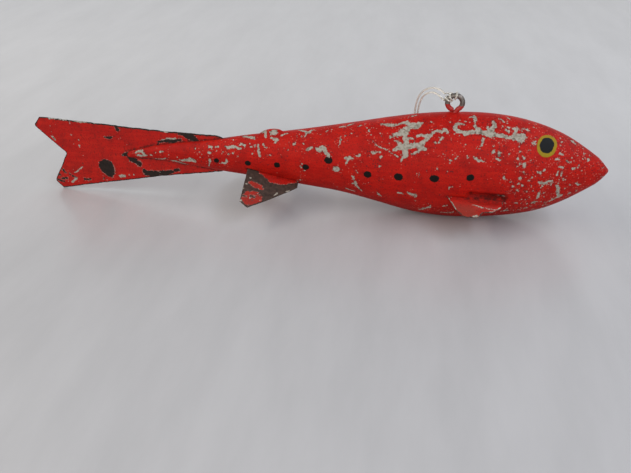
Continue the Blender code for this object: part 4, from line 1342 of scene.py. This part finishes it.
def primer_colour(tree, place):
    """Pale grey primer, dirtied in spots."""
    spots = add_node(tree, "ShaderNodeTexNoise", {"Vector": place, "Scale": 1 / (0.9 * MM), "Detail": 5.0})
    spot_share = add_node(tree, "ShaderNodeMapRange", {"Value": spots, "From Min": 0.42, "From Max": 0.75})
    return add_node(
        tree, "ShaderNodeMix",
        {"Factor": spot_share, "A": linear("#A09B8F"), "B": linear("#6A6052")}, data_type="RGBA",
    )


# %% Brushed red enamel on carved wood: worn dull, roughness 0.5 to 0.7, about 0.1 mm thick
def make_wood_paint():
    material, tree, shader = new_material("red_enamel_brushed_on_wood")
    measures = {
        name: add_node(tree, "ShaderNodeAttribute", attribute_name=name).outputs["Fac"]
        for name in ("under", "specks", "dot", "chip", "groove", "pocket")
    }
    place = add_node(tree, "ShaderNodeTexCoord").outputs["Object"]
    colour = enamel_colour(tree, place)
    primer = primer_colour(tree, place)

    # Painted shade below: the flank darker towards the belly. The saw cuts are shaded further on.
    under = add_node(tree, "ShaderNodeMath", {0: measures["under"], 1: 0.25}, operation="MULTIPLY")

    # Pale specks of primer where grit has hit it, and dark ones where the paint has pitted.
    crowding = measures["specks"]
    pale_share = add_node(tree, "ShaderNodeMath", {0: crowding, 1: 0.075}, operation="MULTIPLY")
    pale_speck = speck_mask(tree, place, 0.9 * MM, pale_share)
    dark_share = add_node(tree, "ShaderNodeMath", {0: crowding, 1: 0.24}, operation="MULTIPLY")
    shifted = add_node(tree, "ShaderNodeVectorMath", {0: place, 1: (0.05, 0.03, 0.07)}, operation="ADD")
    dark_speck = speck_mask(tree, shifted, 0.8 * MM, dark_share)
    dark_part = add_node(tree, "ShaderNodeMath", {0: dark_speck, 1: 0.8}, operation="MULTIPLY")
    fine_share = add_node(tree, "ShaderNodeMath", {0: crowding, 1: 0.17}, operation="MULTIPLY")
    fine = speck_mask(tree, place, 0.6 * MM, fine_share)
    fine = add_node(tree, "ShaderNodeMath", {0: fine, 1: 0.55}, operation="MULTIPLY")

    # The dots, dabbed on the red with a small brush.
    dot = ragged_mask(tree, place, measures["dot"], 0.9 * MM, 0.25, 0.06)

    # The eye: distances in its own radii from its middle, first for the yellow and then for the black.
    from_eye = add_node(tree, "ShaderNodeAttribute", attribute_name="eye").outputs["Vector"]
    masks = []
    for half_x, half_z, ahead, rise in ((3.75, 4.3, 0.2, 0.15), (2.65, 3.05, 0.15, 0.35)):
        scaled = add_node(
            tree, "ShaderNodeMapping",
            {
                "Vector": from_eye,
                "Location": (-ahead / half_x, -rise / half_z, 0.0),
                "Scale": (1 / half_x, 1 / half_z, 1.0),
            },
        )
        radius = add_node(tree, "ShaderNodeVectorMath", {0: scaled}, operation="LENGTH")
        beyond = add_node(
            tree, "ShaderNodeMapRange",
            {"Value": radius.outputs["Value"], "From Max": 2.0, "To Min": -half_x, "To Max": half_x},
        )
        masks.append(ragged_mask(tree, place, beyond, 1.6 * MM, 0.22, 0.07))
    ring, pupil = masks
    ochre_noise = add_node(tree, "ShaderNodeTexNoise", {"Vector": place, "Scale": 1 / (1.0 * MM), "Detail": 4.0})
    ochre = add_node(
        tree, "ShaderNodeMix",
        {"Factor": ochre_noise, "A": linear("#90820F"), "B": linear("#8A6A1A")}, data_type="RGBA",
    )

    # Dark red round the edges of the chips, partly dirt and partly painted shade at the paint's edge, then the
    # primer in them, and old dark wood where they are deepest.
    chip = measures["chip"]
    dirt_and_shade_noise = add_node(tree, "ShaderNodeTexNoise", {"Vector": place, "Scale": 1 / (2.5 * MM), "Detail": 4.0})
    dirt_and_shade_share = add_node(
        tree, "ShaderNodeMapRange", {"Value": dirt_and_shade_noise, "From Min": 0.4, "From Max": 0.62, "To Max": 0.85},
    )
    near = ragged_mask(tree, place, chip, 1.5 * MM, 1.0, 0.5)
    near = add_node(tree, "ShaderNodeMath", {0: near, 1: dirt_and_shade_share}, operation="MULTIPLY")
    chipped = ragged_mask(tree, place, chip, 0.9 * MM, 0.5, 0.05)
    deep_noise = add_node(tree, "ShaderNodeTexNoise", {"Vector": place, "Scale": 1 / (1.6 * MM), "Detail": 4.0})
    deep = add_node(
        tree, "ShaderNodeMapRange", {"Value": deep_noise, "From Min": 0.6, "From Max": 0.66, "To Max": 0.7},
    )
    ground = add_node(
        tree, "ShaderNodeMix", {"Factor": deep, "A": primer, "B": linear("#4E4036")}, data_type="RGBA",
    )

    bared = add_node(tree, "ShaderNodeMath", {0: chipped, 1: pale_speck}, operation="MAXIMUM")

    # Painted shade in the saw cuts, and in the hollow over the root of each pectoral fin.
    cut = add_node(
        tree, "ShaderNodeMapRange",
        {"Value": measures["groove"], "From Min": 1.1, "From Max": 0.3, "To Max": 0.75},
    )
    hollow = ragged_mask(tree, place, measures["pocket"], 2.0 * MM, 2.0, 2.2)
    hollow = add_node(tree, "ShaderNodeMath", {0: hollow, 1: 1.7}, operation="MULTIPLY", use_clamp=True)
    # Each coat or mark covers what is under it, in this order.
    for mask, shade in (
        # painted shade towards the belly
        (under, linear("#7A1613")),
        (dark_part, linear("#4A1A1E")),
        (fine, linear("#C07868")),
        (pale_speck, primer),
        (dot, linear("#0E0B08")),
        (ring, ochre),
        (pupil, linear("#101213")),
        # dirt and painted shade round the chips
        (near, linear("#5A1410")),
        (chipped, ground),
        # painted shade in the saw cuts and in the hollow over the pectoral fins
        (cut, linear("#2A1210")),
        (hollow, linear("#38100C")),
    ):
        colour = add_node(
            tree, "ShaderNodeMix", {"Factor": mask, "A": colour, "B": shade}, data_type="RGBA",
        )
    tree.links.new(colour.outputs[2], shader.inputs["Base Color"])
    # Old enamel has lost most of its shine.
    set_values(shader, Specular_IOR_Level=0.14)

    # It is glossier than primer, and never evenly so.
    sheen = add_node(tree, "ShaderNodeTexNoise", {"Vector": place, "Scale": 1 / (4 * MM), "Detail": 5.0})
    gloss = add_node(tree, "ShaderNodeMapRange", {"Value": sheen, "To Min": 0.48, "To Max": 0.7})
    rough = add_node(tree, "ShaderNodeMix", {"Factor": bared, "A": gloss, "B": 0.8})
    rough = add_node(tree, "ShaderNodeMix", {"Factor": pupil, "A": rough, "B": 0.6})
    tree.links.new(rough.outputs[0], shader.inputs["Roughness"])

    # Heights in mm: brush marks, small dents, the paint's edge round chips and specks, and the raised dabs.
    stretched = add_node(tree, "ShaderNodeMapping", {"Vector": place, "Scale": (0.08, 1.0, 1.0)})
    brush = add_node(tree, "ShaderNodeTexNoise", {"Vector": stretched, "Scale": 1 / (0.8 * MM), "Detail": 4.0})
    dents = add_node(tree, "ShaderNodeTexNoise", {"Vector": place, "Scale": 1 / (1.8 * MM), "Detail": 5.0})
    height = add_node(tree, "ShaderNodeMath", {0: brush, 1: 0.05}, operation="MULTIPLY")
    for part, depth in ((dents, 0.12), (bared, -0.1), (dot, 0.04), (ring, 0.05), (pupil, 0.05)):
        height = add_node(tree, "ShaderNodeMath", {0: part, 1: depth, 2: height}, operation="MULTIPLY_ADD")
    bump = add_node(tree, "ShaderNodeBump", {"Height": height, "Distance": BUMP_UNIT, "Strength": 0.8})
    tree.links.new(bump.outputs[0], shader.inputs["Normal"])
    return material


body.data.materials.append(make_wood_paint())

# %% Red enamel flaked from sheet iron: iron gone dark, roughness 0.45 to 0.7


def make_sheet_paint():
    material, tree, shader = new_material("red_enamel_flaked_from_sheet_iron")
    measures = {
        name: add_node(tree, "ShaderNodeAttribute", attribute_name=name).outputs["Fac"]
        for name in ("brown", "bare", "pale", "rub", "seam", "root_grime_and_shade", "dust")
    }
    place = add_node(tree, "ShaderNodeTexCoord").outputs["Object"]
    colour = enamel_colour(tree, place)
    primer = primer_colour(tree, place)
    iron_noise = add_node(tree, "ShaderNodeTexNoise", {"Vector": place, "Scale": 1 / (1.3 * MM), "Detail": 6.0})
    # The fins' iron has gone browner than the tail's.
    brown = add_node(tree, "ShaderNodeMath", {0: iron_noise, 1: measures["brown"]}, operation="MULTIPLY")
    iron = add_node(
        tree, "ShaderNodeMix",
        {"Factor": brown, "A": linear("#151211"), "B": linear("#5E4B42")}, data_type="RGBA",
    )
    bare = ragged_mask(tree, place, measures["bare"], 0.9 * MM, 0.6, 0.05)
    pale = ragged_mask(tree, place, measures["pale"], 0.6 * MM, 0.4, 0.05)
    fringe = ragged_mask(tree, place, measures["bare"], 0.5 * MM, 0.9, 0.1)
    rub = ragged_mask(tree, place, measures["rub"], 0.8 * MM, 0.4, 0.1)
    seam = ragged_mask(tree, place, measures["seam"], 1.3 * MM, 0.9, 0.4)
    rub = add_node(tree, "ShaderNodeMath", {0: rub, 1: seam}, operation="MAXIMUM")
    # Dust on the fins, which lie flat, and grime with painted shade in the corner at their roots.
    blots = add_node(tree, "ShaderNodeTexNoise", {"Vector": place, "Scale": 1 / (1.5 * MM), "Detail": 5.0})
    blots = add_node(tree, "ShaderNodeMapRange", {"Value": blots, "From Min": 0.3, "From Max": 0.62})
    root_grime_and_shade = add_node(tree, "ShaderNodeMath", {0: measures["root_grime_and_shade"], 1: blots}, operation="MULTIPLY")
    # A thin pale fringe of primer round the bare iron, and edges rubbed dark.
    fringe_share = add_node(tree, "ShaderNodeMath", {0: fringe, 1: 0.65}, operation="MULTIPLY")
    dark = speck_mask(tree, place, 1.1 * MM, 0.05)
    dark = add_node(tree, "ShaderNodeMath", {0: dark, 1: 0.8}, operation="MULTIPLY")
    speck = speck_mask(tree, place, 0.8 * MM, 0.05)
    speck = add_node(tree, "ShaderNodeMath", {0: speck, 1: 0.7}, operation="MULTIPLY")
    # Each coat or mark covers what is under it, in this order.
    for mask, shade in (
        (measures["dust"], linear("#7C392D")),
        # grime and painted shade at the fins' roots
        (root_grime_and_shade, linear("#36120E")),
        (fringe_share, primer),
        (rub, iron),
        (bare, iron),
        (pale, primer),
        (dark, iron),
        (speck, primer),
    ):
        colour = add_node(
            tree, "ShaderNodeMix", {"Factor": mask, "A": colour, "B": shade}, data_type="RGBA",
        )
    tree.links.new(colour.outputs[2], shader.inputs["Base Color"])
    set_values(shader, Specular_IOR_Level=0.22)
    gone = add_node(tree, "ShaderNodeMath", {0: bare, 1: rub}, operation="MAXIMUM")
    off = add_node(tree, "ShaderNodeMath", {0: gone, 1: pale}, operation="SUBTRACT", use_clamp=True)
    metal = add_node(tree, "ShaderNodeMath", {0: off, 1: 0.35}, operation="MULTIPLY")
    tree.links.new(metal.outputs[0], shader.inputs["Metallic"])
    sheen = add_node(tree, "ShaderNodeTexNoise", {"Vector": place, "Scale": 1 / (3 * MM), "Detail": 5.0})
    gloss = add_node(tree, "ShaderNodeMapRange", {"Value": sheen, "To Min": 0.45, "To Max": 0.68})
    rough = add_node(tree, "ShaderNodeMix", {"Factor": gone, "A": gloss, "B": 0.6})
    tree.links.new(rough.outputs[0], shader.inputs["Roughness"])
    dents = add_node(tree, "ShaderNodeTexNoise", {"Vector": place, "Scale": 1 / (2.2 * MM), "Detail": 5.0})
    height = add_node(tree, "ShaderNodeMath", {0: dents, 1: 0.12}, operation="MULTIPLY")
    for part, depth in ((gone, -0.07), (pale, -0.04)):
        height = add_node(tree, "ShaderNodeMath", {0: part, 1: depth, 2: height}, operation="MULTIPLY_ADD")
    bump = add_node(tree, "ShaderNodeBump", {"Height": height, "Distance": BUMP_UNIT, "Strength": 0.8})
    tree.links.new(bump.outputs[0], shader.inputs["Normal"])
    return material


sheet_paint = make_sheet_paint()
for piece in (tail, *fins):
    piece.data.materials.append(sheet_paint)


# %% Steel wire, tarnished dark, with enamel left on it: roughness 0.3 to 0.6
def make_wire_steel():
    material, tree, shader = new_material("steel_wire_tarnished")
    measures = {
        name: add_node(tree, "ShaderNodeAttribute", attribute_name=name).outputs["Fac"]
        for name in ("paint",)
    }
    place = add_node(tree, "ShaderNodeTexCoord").outputs["Object"]
    tarnish = add_node(tree, "ShaderNodeTexNoise", {"Vector": place, "Scale": 1 / (0.9 * MM), "Detail": 6.0})
    colour = add_node(
        tree, "ShaderNodeMix",
        {"Factor": tarnish, "A": linear("#5E5854"), "B": linear("#928A82")}, data_type="RGBA",
    )
    paint = ragged_mask(tree, place, measures["paint"], 0.8 * MM, 0.6, 0.05)
    colour = add_node(
        tree, "ShaderNodeMix", {"Factor": paint, "A": colour, "B": linear("#A01A14")}, data_type="RGBA",
    )
    metal = add_node(tree, "ShaderNodeMath", {0: 1.0, 1: paint}, operation="SUBTRACT")
    tree.links.new(metal.outputs[0], shader.inputs["Metallic"])
    tree.links.new(colour.outputs[2], shader.inputs["Base Color"])
    rough = add_node(tree, "ShaderNodeMapRange", {"Value": tarnish, "To Min": 0.3, "To Max": 0.6})
    tree.links.new(rough.outputs[0], shader.inputs["Roughness"])
    height = add_node(tree, "ShaderNodeMath", {0: tarnish, 1: 0.05}, operation="MULTIPLY")
    bump = add_node(tree, "ShaderNodeBump", {"Height": height, "Distance": BUMP_UNIT, "Strength": 0.7})
    tree.links.new(bump.outputs[0], shader.inputs["Normal"])
    return material


wire_eye.data.materials.append(make_wire_steel())

# %% [markdown]
# ## Table and light
#
# A pale table top, slightly glossy and wiped many times, carries the soft shadows. Two long strip lamps
# over the bench, one to each side and both running from front to back, make the lighter and darker bands
# beside the fins, which one round lamp would not. A wide window behind brightens the far part of the
# table, and a weak light from the room in front fills the belly's shade. The red of the fish bleeds into
# the shadow under it, which only a real bounce of light gives.

# %% Set the table: pale laminate, roughness 0.25 to 0.35
FLOOR_HALF = 1.5
FLOOR_COLOUR = "#B4B4B5"
FLOOR_DULL = "#ABABAC"


def make_floor():
    corners = FLOOR_HALF * np.array([(-1, -1, 0), (1, -1, 0), (1, 1, 0), (-1, 1, 0)], float)
    floor = new_piece("table", corners, [(0, 1, 2, 3)], closed=False)
    material, tree, shader = new_material("table_top_laminate")
    set_values(shader, Specular_IOR_Level=0.5)
    place = add_node(tree, "ShaderNodeTexCoord").outputs["Object"]
    # Faint clouds and wipe marks, a few centimetres long.
    wiped = add_node(tree, "ShaderNodeMapping", {"Vector": place, "Scale": (1.0, 0.25, 1.0)})
    clouds = add_node(
        tree, "ShaderNodeTexNoise", {"Vector": wiped, "Scale": 1 / (22 * MM), "Detail": 8.0, "Roughness": 0.6},
    )
    clouded = add_node(tree, "ShaderNodeMapRange", {"Value": clouds, "From Min": 0.35, "From Max": 0.7})
    colour = add_node(
        tree, "ShaderNodeMix",
        {"Factor": clouded, "A": linear(FLOOR_COLOUR), "B": linear(FLOOR_DULL)}, data_type="RGBA",
    )
    tree.links.new(colour.outputs[2], shader.inputs["Base Color"])
    grain = add_node(tree, "ShaderNodeTexNoise", {"Vector": place, "Scale": 1 / (2 * MM), "Detail": 4.0})
    rough = add_node(tree, "ShaderNodeMapRange", {"Value": grain, "To Min": 0.26, "To Max": 0.34})
    tree.links.new(rough.outputs[0], shader.inputs["Roughness"])
    floor.data.materials.append(material)
    return floor


make_floor()


# %% Hang the lights
def make_area_light(name, place, aim, width, depth, power, colour="#FFFFFF"):
    data = bpy.data.lights.new(name, "AREA")
    data.shape = "RECTANGLE"
    data.size, data.size_y = width, depth
    data.energy = power
    data.color = linear(colour)[:3]
    light = bpy.data.objects.new(name, data)
    bpy.context.scene.collection.objects.link(light)
    light.location = place
    light.rotation_euler = (Vector(aim) - Vector(place)).to_track_quat("-Z", "Y").to_euler()
    return light


STRIP_HEIGHT = 0.4
STRIP_MIDDLE = -0.7
STRIP_LENGTH = 1.8
STRIP_WIDTH = 0.05


def make_strip(name, x, colour, power):
    """A lamp along Y, tilted about Y towards the fish, as a long fitting over a work bench would be."""
    place = (x, STRIP_MIDDLE, STRIP_HEIGHT)
    light = make_area_light(name, place, (0, 0, 0), STRIP_WIDTH, STRIP_LENGTH, power, colour)
    light.rotation_euler = (0.0, math.atan2(x, STRIP_HEIGHT), 0.0)
    return light


def make_world(strength):
    world = bpy.data.worlds.new("soft_room")
    world.use_nodes = True
    background = world.node_tree.nodes["Background"]
    background.inputs["Color"].default_value = linear("#F2F4FA")
    background.inputs["Strength"].default_value = strength
    bpy.context.scene.world = world


make_world(0.4)
make_strip("strip_head_side", 0.4, "#EDF3FF", 4.25)
make_strip("strip_tail_side", -0.45, "#FFF8EC", 4.45)
make_area_light("window_behind", (0.0, 1.1, 0.33), (0.0, 0.0, 0.1), 2.4, 0.5, 3.6)
make_area_light("room_in_front", (0.15, -0.8, 0.28), (0.03, 0.0, 0.02), 0.6, 0.3, 1.4, "#FFF0E8")
bpy.context.scene.view_settings.view_transform = "Standard"
